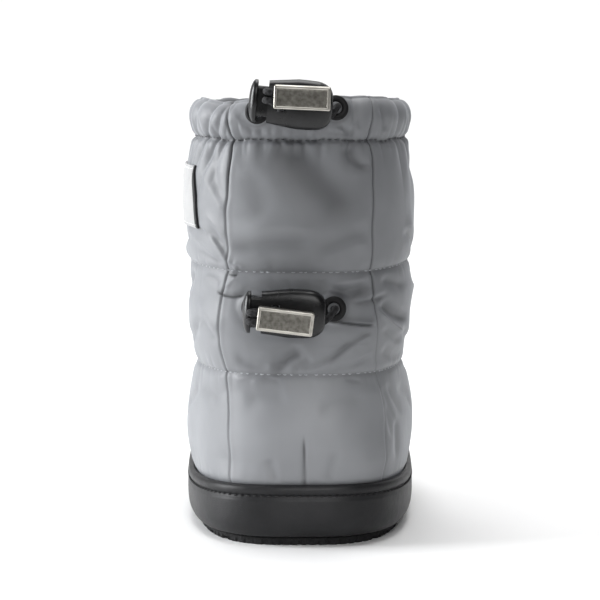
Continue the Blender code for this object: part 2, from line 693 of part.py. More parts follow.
def main():
    """Builds the bootie."""
    root = bpy.data.objects.new("bootie_middle", None)
    PARTS.objects.link(root)
    root.location = (0, -MIDDLE_Y, 0)
    black_rubber = material("outsole_rubber", (0.03, 0.03, 0.032), 0.75)
    black_leather = material("rand_leather", (0.035, 0.035, 0.037), 0.42)
    nylon = material("shell_fabric", (0.30, 0.31, 0.33), 0.55)
    pile = material("insole_cloth", (0.20, 0.20, 0.21), 0.9)
    woven = material("label_cloth", (0.85, 0.85, 0.85), 0.8)
    enamel = material("eyelet_enamel", (0.015, 0.015, 0.016), 0.4)
    elastic = material("cord_elastic", (0.02, 0.02, 0.022), 0.8)
    plastic = material("lock_plastic", (0.03, 0.03, 0.032), 0.45)
    metal = material("clip_metal", (0.52, 0.50, 0.45), 0.35, 1.0)
    make_outsole(root, black_rubber)
    make_rand(root, black_leather)
    make_upper(root, nylon)
    make_insole(root, pile)
    make_label(root, woven)
    for lock in LOCKS:
        make_eyelet(f"{lock.name}_eyelet_left", lock.left_eyelet, root, enamel)
        make_eyelet(f"{lock.name}_eyelet_right", lock.right_eyelet, root, enamel)
        make_lock(lock, root, plastic, metal, elastic)


for old in list(bpy.data.objects):
    bpy.data.objects.remove(old)
PARTS = bpy.data.collections.new("puffer_bootie")
CUTTERS = bpy.data.collections.new("cutters")
for group in (PARTS, CUTTERS):
    bpy.context.scene.collection.children.link(group)
main()
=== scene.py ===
# Looks of the puffer bootie: dressed meshes, materials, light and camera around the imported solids
import math
from collections import namedtuple

import bmesh
import bpy
import numpy as np
from mathutils import Matrix, Vector, noise


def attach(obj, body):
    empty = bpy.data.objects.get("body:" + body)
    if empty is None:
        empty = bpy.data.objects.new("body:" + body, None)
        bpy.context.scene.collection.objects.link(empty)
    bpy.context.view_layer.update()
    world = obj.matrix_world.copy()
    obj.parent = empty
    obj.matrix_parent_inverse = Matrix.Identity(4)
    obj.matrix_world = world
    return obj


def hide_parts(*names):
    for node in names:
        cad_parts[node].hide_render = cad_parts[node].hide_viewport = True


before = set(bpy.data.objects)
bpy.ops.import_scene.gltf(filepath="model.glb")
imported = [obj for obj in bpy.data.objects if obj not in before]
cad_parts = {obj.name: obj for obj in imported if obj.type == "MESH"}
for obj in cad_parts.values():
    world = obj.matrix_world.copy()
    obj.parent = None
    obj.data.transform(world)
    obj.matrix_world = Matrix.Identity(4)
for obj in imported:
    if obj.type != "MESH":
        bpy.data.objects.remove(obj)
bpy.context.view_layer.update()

# Sizes and the shell's function are those of the part's source, in metres. Lengths along the foot count from
# the back of the heel, and to_frame() carries them to the frame's origin.

# Driving dimensions
SOLE_LENGTH = 0.156
BALL_WIDTH = 0.0795
BALL_AT = 0.090
RAND_TOP = 0.0207
RAND_TOP_TOE = 0.0230
LOWER_SEAM = 0.0576
UPPER_SEAM = 0.0917
COLLAR_SEAM = 0.1353
COLLAR_TOP = 0.1495
SHAFT_FRONT = 0.0845
WALL = 0.0026
CLEAR = 0.0003

# Sole
OUTSOLE_THICK = 0.0026
OUTSOLE_OUTSET = 0.0012
OUTSOLE_CHAMFER = 0.0004
TOE_SPRING = 0.0040
TOE_SPRING_FROM = 0.112
INSOLE_THICK = 0.0034
FOOT_Z = OUTSOLE_THICK + CLEAR
LUG_DEPTH = 0.0012
GROOVE_WIDTH = 0.0026
GROOVE_PITCH = 0.0095
LONG_GROOVES_X = (-0.013, 0.013)
LONG_GROOVE_ENDS = (0.014, 0.119)
RAND_THICK = 0.0020
RAND_OUT = CLEAR + RAND_THICK
FOOT_TUCK = 0.0028

# Sections of the shell from the floor to the collar
Section = namedtuple("Section", "back_y back_z front_y front_z half_width side_y back_power front_power dip")
HALF_FOOT = BALL_WIDTH / 2 - RAND_OUT
TOE_Y = SOLE_LENGTH - RAND_OUT
SECTIONS = (
    Section(RAND_OUT + FOOT_TUCK, FOOT_Z, TOE_Y - FOOT_TUCK, FOOT_Z,
            HALF_FOOT - FOOT_TUCK, BALL_AT, 3.2, 2.3, 0.0),
    Section(RAND_OUT, 0.0080, TOE_Y, 0.0080, HALF_FOOT, BALL_AT, 3.2, 2.3, 0.0012),
    Section(RAND_OUT, RAND_TOP, TOE_Y, RAND_TOP_TOE, HALF_FOOT, BALL_AT, 3.2, 2.3, 0.0036),
    Section(0.0024, 0.0310, 0.1520, 0.0330, 0.0367, 0.086, 3.1, 2.25, 0.0026),
    Section(0.0028, 0.0400, 0.1455, 0.0425, 0.0358, 0.080, 2.95, 2.2, 0.0015),
    Section(0.0034, 0.0490, 0.1305, 0.0500, 0.0354, 0.070, 2.8, 2.1, 0.0005),
    Section(0.0040, LOWER_SEAM, 0.1100, 0.0565, 0.0353, 0.060, 2.7, 2.0, 0.0),
    Section(0.0042, 0.0680, 0.0945, 0.0650, 0.0355, 0.053, 2.6, 2.05, -0.0003),
    Section(0.0042, 0.0790, 0.0865, 0.0770, 0.0358, 0.048, 2.55, 2.1, -0.0008),
    Section(0.0042, UPPER_SEAM, SHAFT_FRONT, UPPER_SEAM - 0.0010, 0.0366, 0.0455, 2.5, 2.15, -0.0014),
    Section(0.0040, 0.1130, SHAFT_FRONT, 0.1120, 0.0364, 0.045, 2.45, 2.2, -0.0007),
    Section(0.0042, COLLAR_SEAM, SHAFT_FRONT, COLLAR_SEAM - 0.0010, 0.0358, 0.0445, 2.45, 2.2, 0.0),
    Section(0.0043, 0.1440, SHAFT_FRONT - 0.0002, 0.1415, 0.0356, 0.0445, 2.45, 2.2, 0.0),
    Section(0.0058, COLLAR_TOP, SHAFT_FRONT - 0.0020, COLLAR_TOP - 0.0045, 0.0339, 0.0445, 2.45, 2.2, 0.0),
)
RAND_ROW = 2
LOWER_SEAM_ROW = 6
UPPER_SEAM_ROW = 9
COLLAR_SEAM_ROW = 11
RIM_ROW = 13
RIM_CROWN = 0.0011

Channel = namedtuple("Channel", "low_row high_row puff")
CHANNELS = (
    Channel(RAND_ROW, LOWER_SEAM_ROW, 0.0020),
    Channel(LOWER_SEAM_ROW, UPPER_SEAM_ROW, 0.0019),
    Channel(UPPER_SEAM_ROW, COLLAR_SEAM_ROW, 0.0023),
    Channel(COLLAR_SEAM_ROW, RIM_ROW, 0.0019),
)
PUFF_ROUNDNESS = 0.7

# Label, drawcords and eyelets
LABEL_Z = (0.1047, 0.1257)
LABEL_Y = (0.0222, 0.0500)
LABEL_LEAN = 0.0028
LABEL_THICK = 0.0007
LABEL_EDGE_DROP = 0.0002
LABEL_GAP = 0.0001
CORD_RADIUS = 0.0011
EYELET_RING = 0.00315
EYELET_EDGE = 0.0011
EYELET_FLATNESS = 0.5

# Cord locks, in their own frame: X along the barrel, -Y away from the bootie, Z up
LOCK_LENGTH = 0.0212
LOCK_DEPTH = 0.0078
LOCK_BACK_Y = -0.0009
LOCK_CENTRE_Y = LOCK_BACK_Y - LOCK_DEPTH / 2
LOCK_MOUTH = -LOCK_LENGTH / 2
LOCK_POWER = 2.8
PRESS = 0.0030
BUTTON_GAP = PRESS + 0.0004
BUTTON_THICK = 0.0028
BUTTON_HEIGHT = 0.0142
BUTTON_DEPTH = 0.0076
STEM_HEIGHT = 0.0100
STEM_DEPTH = 0.0042
STEM_REACH = 0.0115
BORE_REACH = STEM_REACH + PRESS + 0.0004
STRAND_APART = 0.0029
SLOT_X = LOCK_MOUTH + 0.0046
SLOT_WIDTH = 2 * CORD_RADIUS + 2 * CLEAR
SLOT_HEIGHT = STRAND_APART + 2 * CORD_RADIUS + 2 * CLEAR

# Clips on the cord ends
CLIP_LENGTH = 0.0184
CLIP_HEIGHT = 0.0078
CLIP_THICK = 0.0040
CLIP_SOCKET = 0.0030
CLIP_MOUTH = 2 * CORD_RADIUS + 0.0006
LOOP_RADIUS = 0.0018
LOOP_RUN_Y = -LOCK_DEPTH / 2 - 0.0018
CLIP_Y = LOOP_RUN_Y - 2 * LOOP_RADIUS
CLIP_PAST_LOOP = 0.0008

# Route of the strands
EYELET_REACHES = (-0.0014, 0.0010, 0.0032)
BEHIND_LOCK = LOCK_DEPTH / 2 + CORD_RADIUS + 0.0004
BackRun = namedtuple("BackRun", "x further_behind z")
BACK_RUNS = {
    "left": (BackRun(-0.0100, 0.0, 0.0010),),
    "right": (
        BackRun(0.0095, -0.0006, -0.0034),
        BackRun(0.0030, 0.0002, -0.0042),
        BackRun(-0.0030, 0.0001, -0.0030),
    ),
}
SLOT_LEAD = 0.0006
LOOP_LEAD = 0.0009
LOOP_TURNS = (135, 180, 225)
RISE_AT_LEAD = 0.3
RISE_AT_LOOP = 0.7

Lock = namedtuple("Lock", "name x z roll clip_x clip_z clip_roll left_eyelet right_eyelet")
LOCKS = (
    Lock("collar", 0.0001, 0.1476, 5.0, -0.0088, 0.0022, -2.5, (-0.0138, 0.1446), (0.0116, 0.1456)),
    Lock("ankle", -0.0021, 0.0792, 2.0, -0.0118, -0.0008, 5.0, (-0.0152, 0.0800), (0.0110, 0.0798)),
)
MIDDLE_Y = (SOLE_LENGTH + LOCK_CENTRE_Y + CLIP_Y - CLIP_THICK / 2) / 2

# Panel seams of the back: height, place of the outer and the inner seam across the back, darkness of the
# painted shade line in each
PANEL_SEAMS = np.array((
    (0.0200, -0.0230, 0.0279, 0.40, 0.20),
    (0.0270, -0.0230, 0.0272, 0.40, 0.20),
    (0.0390, -0.0231, 0.0256, 0.40, 0.20),
    (0.0590, -0.0242, 0.0246, 0.55, 0.25),
    (0.0720, -0.0251, 0.0239, 0.70, 0.35),
    (0.0830, -0.0252, 0.0232, 0.75, 0.85),
    (0.0917, -0.0236, 0.0230, 0.60, 0.80),
    (0.0980, -0.0227, 0.0228, 0.35, 0.65),
    (0.1120, -0.0227, 0.0228, 0.45, 0.65),
    (0.1230, -0.0224, 0.0226, 1.00, 0.75),
    (0.1353, -0.0219, 0.0224, 1.00, 0.80),
    (0.1420, -0.0226, 0.0229, 0.70, 0.60),
    (0.1500, -0.0228, 0.0231, 0.50, 0.50),
))
PANEL_SIDES = ((1, 1), (2, -1))
PANEL_WOBBLE = 0.00022
PANEL_WOBBLE_RUN = 0.0061
FINE_WOBBLE = 0.00012
FINE_WOBBLE_RUN = 0.0023
PANEL_VALLEY = 0.00085
PANEL_VALLEY_HALF = 0.00042
PANEL_HOLLOW = 0.00010
PANEL_HOLLOW_HALF = 0.0020
# Width of the painted shade line of the panel seams, wider where it is darker
PANEL_LINE_HALF = 0.00024
PANEL_LINE_SPREAD = 0.00012
ALLOWANCE = 0.00012
ALLOWANCE_AT = 0.0013
ALLOWANCE_HALF = 0.0008
BEHIND_FROM = 0.05
BEHIND_FADE = 0.2

# Folds, in millimetres, for each face: back and front in x and z, outer and inner in y and z,
# vamp in x and y. A row has the kind, the two ends, the bow of the line to its left, the depth and the half
# width. A trough goes in by its depth, a ridge comes out by it, and a tuck drops by it from the right side of
# the line to the left. A drag is a tuck without the sharp dark line.
Fold = namedtuple("Fold", "kind u0 v0 u1 v1 bend depth width")
MM = 0.001
HEEL_DART = Fold("trough", 1.2, 38.5, 1.2, 14.0, 0.2, 0.60, 0.55)
FOLDS = {
    "back": (
        # Upper back panel
        ("trough", -8.5, 136.0, 18.0, 106.4, 2.0, 1.70, 6.4),
        ("ridge", -20.0, 106.6, 9.0, 106.0, 0.8, 0.50, 3.0),
        ("trough", -25.0, 99.4, 7.0, 101.6, 0.4, 0.85, 2.6),
        ("trough", 23.0, 106.0, 4.0, 97.4, -1.2, 0.50, 3.2),
        ("ridge", 22.5, 102.0, 7.5, 95.8, -1.2, 0.35, 2.2),
        ("trough", 14.6, 134.6, 22.6, 125.4, -1.6, 0.90, 1.7),
        ("trough", -17.0, 126.0, -12.0, 108.0, 1.5, 0.40, 4.0),
        # Outer side panel beside its seam
        ("ridge", -32.4, 107.6, -22.6, 92.8, 1.0, 0.62, 0.9),
        ("trough", -28.8, 107.0, -23.2, 95.4, 0.8, 0.50, 1.5),
        ("trough", -34.2, 98.4, -23.6, 93.6, -0.5, 0.45, 1.3),
        ("ridge", -35.4, 102.4, -25.0, 94.6, 0.6, 0.32, 1.0),
        ("trough", -33.6, 105.6, -24.4, 99.6, 0.9, 0.42, 1.0),
        ("ridge", -30.6, 111.0, -23.2, 101.4, 0.9, 0.34, 1.0),
        ("ridge", -33.0, 127.0, -22.4, 108.0, 0.8, 0.45, 1.7),
        ("trough", -28.4, 134.0, -23.6, 114.0, -0.8, 0.50, 1.6),
        ("trough", -31.2, 89.4, -25.4, 86.6, 0.4, 0.35, 1.3),
        ("ridge", -33.4, 81.0, -25.6, 70.5, 0.8, 0.30, 1.5),
        ("trough", -32.4, 75.5, -26.0, 66.0, 0.8, 0.40, 1.5),
        ("trough", -33.0, 49.5, -26.0, 46.0, 1.0, 0.40, 2.4),
        # Gathered collar beside the lock
        ("ridge", 15.4, 145.0, 19.8, 136.8, -0.6, 0.45, 1.0),
        ("trough", 12.2, 142.0, 17.4, 136.4, -0.5, 0.70, 1.0),
        ("trough", 8.0, 137.6, 15.4, 136.8, 0.3, 0.50, 0.8),
        ("trough", 25.0, 146.6, 27.2, 137.4, 0.5, 0.50, 0.9),
        ("ridge", -21.0, 146.0, -18.4, 137.0, 0.6, 0.30, 1.0),
        # Puckers along the lower seam
        ("ridge", -22.0, 55.8, -15.0, 56.4, -0.3, 0.26, 0.6),
        ("ridge", -16.5, 54.8, -9.5, 56.0, 0.3, 0.24, 0.6),
        ("trough", -13.0, 56.2, -6.0, 55.2, 0.2, 0.24, 0.7),
        ("ridge", -11.0, 59.4, -5.0, 61.6, 0.3, 0.26, 0.7),
        ("trough", 14.0, 56.0, 20.0, 54.6, 0.2, 0.20, 0.7),
        # Crumple where the outer seam meets the quilting
        ("ridge", -23.4, 95.6, -20.4, 92.0, 0.3, 0.34, 0.50),
        ("ridge", -21.6, 94.8, -17.8, 92.8, 0.3, 0.30, 0.50),
        ("ridge", -22.8, 91.2, -19.8, 93.8, -0.3, 0.26, 0.45),
        ("tuck", -20.2, 90.6, -23.4, 91.0, 0.4, 0.20, 0.50),
        # Beside the ankle lock
        ("ridge", -20.4, 90.8, -24.6, 86.2, 0.5, 0.28, 0.9),
        ("tuck", -17.6, 84.3, -27.0, 85.0, 1.3, 0.24, 0.7),
        ("trough", 9.0, 84.6, 24.0, 87.0, -0.6, 1.45, 2.4),
        ("ridge", 8.0, 88.5, 22.0, 89.6, -0.5, 0.45, 1.5),
        ("trough", 16.4, 81.2, 29.0, 83.8, -0.4, 0.60, 0.9),
        ("tuck", 23.4, 73.8, 7.6, 76.6, 0.3, 0.85, 1.0),
        # Drags under the ankle lock
        ("drag", 0.5, 58.6, 17.0, 69.0, -1.6, 0.36, 1.1),
        ("drag", 9.5, 60.0, 22.5, 71.4, 1.2, 0.34, 0.9),
        ("ridge", 13.0, 59.6, 23.0, 66.0, -0.6, 0.25, 0.9),
        ("trough", 8.0, 58.4, 23.6, 63.6, -0.6, 0.40, 1.2),
        ("trough", -9.6, 57.0, 2.0, 67.0, 1.2, 1.10, 2.2),
        ("trough", -2.6, 58.2, 4.6, 63.4, 0.8, 0.50, 1.5),
        ("trough", -21.5, 64.0, -9.0, 60.5, -1.6, 0.45, 2.2),
        # Inner side panel beside its seam
        ("ridge", 23.6, 80.0, 33.8, 68.6, -0.6, 1.10, 0.75),
        ("trough", 25.0, 82.2, 36.4, 72.4, -0.9, 1.50, 2.2),
        ("trough", 25.0, 73.0, 32.6, 65.0, 0.6, 0.50, 1.5),
        ("trough", 25.6, 66.4, 35.0, 59.4, -0.8, 0.70, 2.0),
        ("trough", 25.6, 88.8, 34.4, 84.0, 0.8, 0.60, 1.7),
        ("trough", 25.6, 54.0, 29.8, 38.5, -0.6, 0.42, 0.9),
        ("trough", 27.6, 54.0, 33.2, 39.5, -0.9, 0.48, 1.0),
        ("trough", 26.0, 47.0, 28.8, 33.0, -0.4, 0.34, 0.8),
        ("trough", 29.6, 42.0, 31.8, 25.0, -0.5, 0.48, 1.0),
        ("ridge", 26.6, 51.0, 31.4, 36.5, -0.7, 0.28, 0.8),
        # Heel panel
        ("trough", -11.0, 30.0, -8.0, 20.5, 0.6, 0.40, 1.6),
        ("trough", 11.5, 33.0, 9.0, 20.5, -0.6, 0.40, 1.6),
        ("trough", -19.0, 48.0, -3.0, 50.0, 1.5, 0.40, 3.2),
        ("trough", 5.0, 44.0, 21.0, 50.0, 1.2, 0.40, 3.0),
        HEEL_DART,
    ),
    "outer": (
        # Outer side
        ("ridge", 23.7, 105.0, 45.3, 92.0, 2.1, 0.74, 1.9),
        ("trough", 26.3, 102.6, 50.7, 92.0, 2.6, 1.01, 1.8),
        ("ridge", 73.1, 106.1, 52.9, 92.3, -1.8, 0.55, 1.9),
        ("trough", 53.1, 106.0, 71.9, 93.0, 2.1, 0.83, 1.7),
        ("trough", 26.5, 90.2, 49.5, 73.4, 2.1, 0.87, 1.8),
        ("trough", 43.4, 85.9, 86.6, 67.1, 3.9, 1.29, 1.9),
        ("ridge", 46.1, 82.5, 84.9, 63.7, 3.4, 0.64, 1.7),
        ("trough", 56.9, 89.2, 90.1, 74.8, 2.6, 0.92, 1.4),
        ("trough", 20.4, 75.8, 50.6, 64.2, -2.6, 0.74, 2.0),
        ("trough", 53.4, 57.2, 96.6, 41.4, 3.9, 1.01, 2.0),
        ("trough", 74.5, 55.1, 110.5, 34.9, 3.4, 0.83, 1.7),
        ("trough", 30.6, 51.8, 59.4, 40.2, -2.1, 0.55, 2.4),
        ("trough", 96.0, 40.6, 122.0, 23.4, 1.8, 0.64, 1.7),
    ),
    "inner": (
        # Inner side
        ("ridge", 22.7, 106.1, 44.3, 92.5, 2.1, 0.64, 1.9),
        ("trough", 21.3, 103.8, 45.7, 92.2, 2.6, 1.01, 1.8),
        ("trough", 57.4, 104.8, 74.6, 93.2, 1.6, 0.74, 1.7),
        ("trough", 38.0, 87.9, 84.0, 69.1, 3.4, 1.29, 1.7),
        ("ridge", 40.6, 84.5, 82.4, 65.7, 3.1, 0.64, 1.6),
        ("trough", 60.4, 87.4, 86.0, 74.0, 2.6, 0.80, 1.6),
        ("trough", 25.2, 71.3, 56.8, 62.7, -2.1, 0.74, 2.0),
        ("trough", 48.2, 56.4, 92.8, 40.6, 3.4, 1.01, 1.9),
        ("trough", 79.9, 50.6, 113.1, 33.4, 2.9, 0.78, 1.7),
        ("trough", 25.6, 49.8, 54.4, 38.2, 2.1, 0.55, 2.2),
        ("trough", 93.2, 35.5, 124.8, 25.5, 1.6, 0.55, 1.7),
        ("trough", 26.7, 126.4, 61.3, 110.6, 3.9, 0.55, 3.4),
    ),
    "front": (
        # Front of the ankle, where the instep bends
        ("trough", -30.7, 76.5, 6.7, 73.0, -2.9, 0.90, 2.0),
        ("ridge", -29.7, 73.1, 7.7, 69.9, -2.6, 0.45, 1.8),
        ("trough", -10.2, 80.5, 30.2, 77.0, 2.3, 0.85, 1.9),
        ("ridge", -7.5, 83.7, 28.5, 80.5, 2.3, 0.40, 1.8),
        ("trough", -25.7, 84.3, 11.7, 85.7, 1.8, 0.55, 1.8),
        ("trough", -21.5, 97.5, 1.5, 107.5, 2.3, 0.55, 2.4),
        ("trough", -0.2, 121.5, 27.2, 98.5, 3.1, 0.64, 3.1),
    ),
    "vamp": (
        # Vamp and toe
        ("trough", -26.4, 101.1, 2.4, 104.0, 2.6, 0.30, 2.6),
        ("trough", -2.6, 102.0, 27.6, 99.0, -2.1, 0.30, 2.6),
        ("trough", -29.1, 116.2, -8.9, 127.8, 2.6, 0.64, 2.0),
        ("trough", 6.7, 129.4, 28.3, 113.6, 2.6, 0.64, 2.0),
    ),
}
FOLD_GAIN = 1.45
FOLD_ENDS = 0.28
TUCK_ENDS = 0.14
# Line of painted shade along the heel's dart
DART_LINE_DARK = 0.85
DART_LINE_HALF = 0.00030
DART_FADE = 0.006

# Coordinates of each face's plane, and which way the face looks
FACES = {
    "back": (0, 2, (0.0, -1.0, 0.0)),
    "front": (0, 2, (0.0, 1.0, 0.0)),
    "outer": (1, 2, (-1.0, 0.0, 0.0)),
    "inner": (1, 2, (1.0, 0.0, 0.0)),
    "vamp": (0, 1, (0.0, 0.6, 0.8)),
}
SEEN_FROM = 0.1
SEEN_FADE = 0.3

# Swellings and hollows, in millimetres: face, middle, height and half sizes
Swell = namedtuple("Swell", "face u v height half_u half_v")
SWELLS = (
    Swell("outer", 45.0, 95.5, 0.7, 20.0, 4.5),
    Swell("outer", 45.0, 84.0, -1.0, 18.0, 3.6),
    Swell("inner", 45.0, 83.0, 1.4, 18.0, 6.0),
    Swell("inner", 45.0, 62.0, -0.8, 18.0, 4.0),
    Swell("back", 0.0, 82.0, -1.5, 27.0, 5.0),
    Swell("back", -6.0, 72.0, -0.8, 13.0, 4.2),
)
HEEL_TILT = 0.0012
HEEL_HALF = 0.022
HEEL_EDGE = 0.034
HEEL_EDGE_FADE = 0.010
HEEL_FADE = 0.008

# Corners that the shell turns along the two panel seams: height at the back, and how far the cloth stands out
CORNERS = np.array((
    (0.020, 0.0003),
    (0.040, 0.0006),
    (0.058, 0.0008),
    (0.072, 0.0015),
    (0.084, 0.0014),
    (0.094, 0.0008),
    (0.125, 0.0008),
    (0.1353, 0.0003),
    (0.150, 0.0),
))
CORNER_INNER_RUN = 0.018
CORNER_OUTER_RUN = 0.0055
CORNER_RISE_POWER = 1.5
CORNER_FALL_POWER = 1.3

# Quilting seams: row, pitch and height of the puckers beside it, and depth of its valley
QuiltSeam = namedtuple("QuiltSeam", "row pitch height valley")
QUILT_SEAMS = (
    QuiltSeam(LOWER_SEAM_ROW, 0.0062, 0.00020, 0.00035),
    QuiltSeam(UPPER_SEAM_ROW, 0.0066, 0.00016, 0.00035),
    QuiltSeam(COLLAR_SEAM_ROW, 0.0036, 0.00042, 0.00080),
    QuiltSeam(RAND_ROW, 0.0070, 0.00022, 0.00035),
)
SEWN_ROWS = [seam.row for seam in QUILT_SEAMS]
VALLEY_HALF = 0.0011
PUCKER_PEAK = 0.0022
PUCKER_REACH = 0.006
ABOVE_SEED = 11
BELOW_SEED = 31
BELOW_PITCH = 1.1
# Line of painted shade in the valley of each quilting seam, in dashes along the collar
SEAM_LINE_HALF = 0.00045
SEAM_LINE_DARK = 0.20
COLLAR_LINE_LOW = 0.25
COLLAR_LINE_RISE = 0.65

# Uneven shapes, as layers of noise: height, size and seed
PADDING_CLOUDS = ((0.00055, 0.026, 1), (0.00017, 0.012, 2))
COLLAR_CLOUDS = ((0.0010, 0.011, 21), (0.0006, 0.0045, 22))
RIM_CLOUDS = ((0.0007, 0.013, 5),)
PILE_CLOUDS = ((0.0005, 0.009, 8), (0.00025, 0.0035, 9))
SWAY_CLOUDS = ((0.00010, 0.021, 4),)
TOOTH_CLOUDS = ((0.5, 0.008, 6),)
NOTCH_CLOUDS = ((0.4, 0.004, 7),)
PADDING_FREE = 0.004
WRINKLE = 0.00006
WRINKLE_SIZE = 0.0060
WRINKLE_SEED = 3
WRINKLE_REACH = 0.008

# Cloth round the eyelets
EYELET_DIP = 0.00035
EYELET_DIP_AT = 0.0055
EYELET_DIP_HALF = 0.0016
# Painted shade round the edge of each eyelet
EYELET_LINE_DARK = 0.3
EYELET_LINE_AT = 0.0042
EYELET_LINE_HALF = 0.0006
EYELET_FLAT = 0.0040
EYELET_FLAT_FADE = 0.0022
EYELET_LIFT = 0.0001

# Pleats of the gathered collar that show from behind: place across the back, lean, depth and half width,
# how far they run down below the collar stitching, and how much of them shows above it
BACK_PLEATS = (
    (-0.0342, 0.30, 0.0010, 0.0012, 0.014, 1.0),
    (-0.0312, 0.55, 0.0013, 0.0012, 0.018, 1.0),
    (-0.0274, 0.42, 0.0013, 0.0011, 0.016, 0.9),
    (-0.0243, 0.30, 0.0008, 0.0010, 0.012, 0.6),
    (-0.0190, -0.10, 0.0005, 0.0012, 0.006, 0.5),
    (-0.0120, 0.00, 0.0006, 0.0010, 0.005, 0.2),
    (-0.0065, 0.05, 0.0006, 0.0009, 0.004, 0.1),
    (0.0010, -0.05, 0.0006, 0.0010, 0.005, 0.1),
    (0.0072, 0.06, 0.0007, 0.0010, 0.006, 0.2),
    (0.0163, 0.10, 0.0014, 0.0013, 0.007, 0.9),
    (0.0262, -0.06, 0.0006, 0.0014, 0.008, 0.6),
    (0.0318, -0.10, 0.0008, 0.0014, 0.014, 0.8),
    (0.0346, -0.12, 0.0009, 0.0012, 0.016, 1.0),
)
# Ranges of the other pleats: shift, lean, depth, half width and run below the stitching
PLEAT_RANGES = ((-0.0012, 0.0012), (-0.2, 0.2), (0.0006, 0.0012), (0.0010, 0.0015), (0.006, 0.016))
PLEAT_PITCHES = (0.0055, 0.0085)
FIRST_PLEAT = 0.052
PLEAT_WIDENING = 0.012
PLEAT_SPREAD = 0.8
PLEAT_LIP = 0.28
PLEAT_LIP_AT = 2.4
PLEAT_LIP_HALF = 1.6
RANDOM_SEED = 7

# Stitches
STITCH_PITCH = 0.0025
STITCH_LENGTH = 0.0019
STITCH_RADIUS = 0.00022
STITCH_LIFT = 0.00008
RAND_STITCH_LENGTH = 0.0018
RAND_STITCH_RADIUS = 0.00030
LABEL_STITCH_PITCH = 0.0019
LABEL_STITCH_LENGTH = 0.0013
LABEL_STITCH_RADIUS = 0.00013
STITCH_SIDES = 6
STITCH_RINGS = 5
SEAM_POINTS = 900

# Mesh counts of the dressed pieces
SHELL_COLUMNS = 328
EVEN_LEVEL = 4.0
FRONT_DENSITY = 0.22
DENSE_RUN = 0.075
DENSE_FADE = 0.030
SEAM_DENSITY = 1.3
SEAM_RUN = 0.0264
SEAM_RUN_HALF = 0.0032
HIDDEN_LEVEL = 1.65
RELIEF_FADE_ROW = 1.2
Band = namedtuple("Band", "low high steps spare")
BANDS = (
    Band(HIDDEN_LEVEL, RAND_ROW, 8, 0.00),
    Band(RAND_ROW, LOWER_SEAM_ROW, 72, 0.015),
    Band(LOWER_SEAM_ROW, UPPER_SEAM_ROW, 72, 0.015),
    Band(UPPER_SEAM_ROW, COLLAR_SEAM_ROW, 84, 0.015),
    Band(COLLAR_SEAM_ROW, RIM_ROW, 28, 0.02),
)
CROWN_STEPS = 8
TURN_IN_STEPS = 12
TURN_IN_LEVEL = COLLAR_SEAM_ROW + 0.15
TURN_IN_SHARE = 0.5
TURN_IN_FADE = 0.7
LINING_COLUMNS = 176
LINING_ROWS = 84
RAND_COLUMNS = 400
RAND_RINGS = 72
SOLE_COLUMNS = 720
LABEL_ROWS = 40
LABEL_COLUMNS = 56
LABEL_STRIPE_COLUMNS = 3
EYELET_COLUMNS = 48
EYELET_ROWS = 16
LOCK_COLUMNS = 80
CORD_POINTS = 150
CORD_SIDES = 20

# Cloth simulation of the padding, on a coarser mesh and at a larger scale
SPARE_HEIGHT = 0.015
SETTLE_STRIDE = 4
SETTLE_CAP = 0.0022
SETTLE_SCALE = 20.0
SETTLE_FRAMES = 22
SMOOTH_PASSES = 4
CLOTH_SETTINGS = {
    "quality": 5,
    "mass": 0.004,
    "tension_stiffness": 15,
    "compression_stiffness": 15,
    "shear_stiffness": 5,
    "bending_stiffness": 0.5,
    "air_damping": 0.05,
    "use_pressure": True,
    "uniform_pressure_force": 1.5,
}
RIM_SAG = 0.0017
RIM_SAG_AT = -0.027
RIM_SAG_HALF = 0.014


# The shell's own function, for arrays of angles and levels of one shape

def to_frame(points):
    """Points counted from the heel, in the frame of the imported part."""
    return np.asarray(points) - np.array([0.0, MIDDLE_Y, 0.0])


def toe_lift(y):
    """Rise of the sole line at a distance from the heel."""
    share = np.clip((np.asarray(y) - TOE_SPRING_FROM) / (SOLE_LENGTH - TOE_SPRING_FROM), 0, None)
    return TOE_SPRING * share ** 2


def section_at(levels):
    """Section values at fractional rows, on a smooth curve through the rows of the table."""
    table = np.array(SECTIONS)
    levels = np.asarray(levels, float)
    row = np.clip(levels.astype(int), 0, len(table) - 2)
    t = (levels - row)[..., None]
    before = table[np.maximum(row - 1, 0)]
    low = table[row]
    high = table[row + 1]
    after = table[np.minimum(row + 2, len(table) - 1)]
    return 0.5 * (2 * low + (high - before) * t + (2 * before - 5 * low + 4 * high - after) * t ** 2
                  + (3 * low - before - 3 * high + after) * t ** 3)


def base_points(angle, level):
    """Points of the unpuffed shell, angle 0 at the back and a half turn at the toe."""
    angle, level = np.broadcast_arrays(np.asarray(angle, float), np.asarray(level, float))
    columns = np.moveaxis(section_at(level), -1, 0)
    back_y, back_z, front_y, front_z, half, side_y, back_power, front_power, dip = columns
    cosine = np.cos(angle)
    sine = np.sin(angle)
    power = np.where(cosine > 0, back_power, front_power)
    reach = np.where(cosine > 0, side_y - back_y, front_y - side_y)
    x = half * np.sign(sine) * np.abs(sine) ** (2 / power)
    y = side_y - reach * np.sign(cosine) * np.abs(cosine) ** (2 / power)
    share = (y - back_y) / (front_y - back_y)
    z = back_z + (front_z - back_z) * share - dip * np.sin(np.pi * share) + toe_lift(y)
    return np.stack([x, y, z], axis=-1)


def tangents(angle, level):
    """Steps of the unpuffed shell per radian and per level."""
    step = 1e-3
    angle, level = np.broadcast_arrays(np.asarray(angle, float), np.asarray(level, float))
    around = (base_points(angle + step, level) - base_points(angle - step, level)) / (2 * step)
    upper = np.minimum(level + step, RIM_ROW)
    lower = np.maximum(level - step, 0)
    up = (base_points(angle, upper) - base_points(angle, lower)) / (upper - lower)[..., None]
    return around, up


def normals_of(around, up):
    """Outward unit normals from the two steps."""
    normal = np.cross(around, up)
    return normal / np.linalg.norm(normal, axis=-1, keepdims=True)


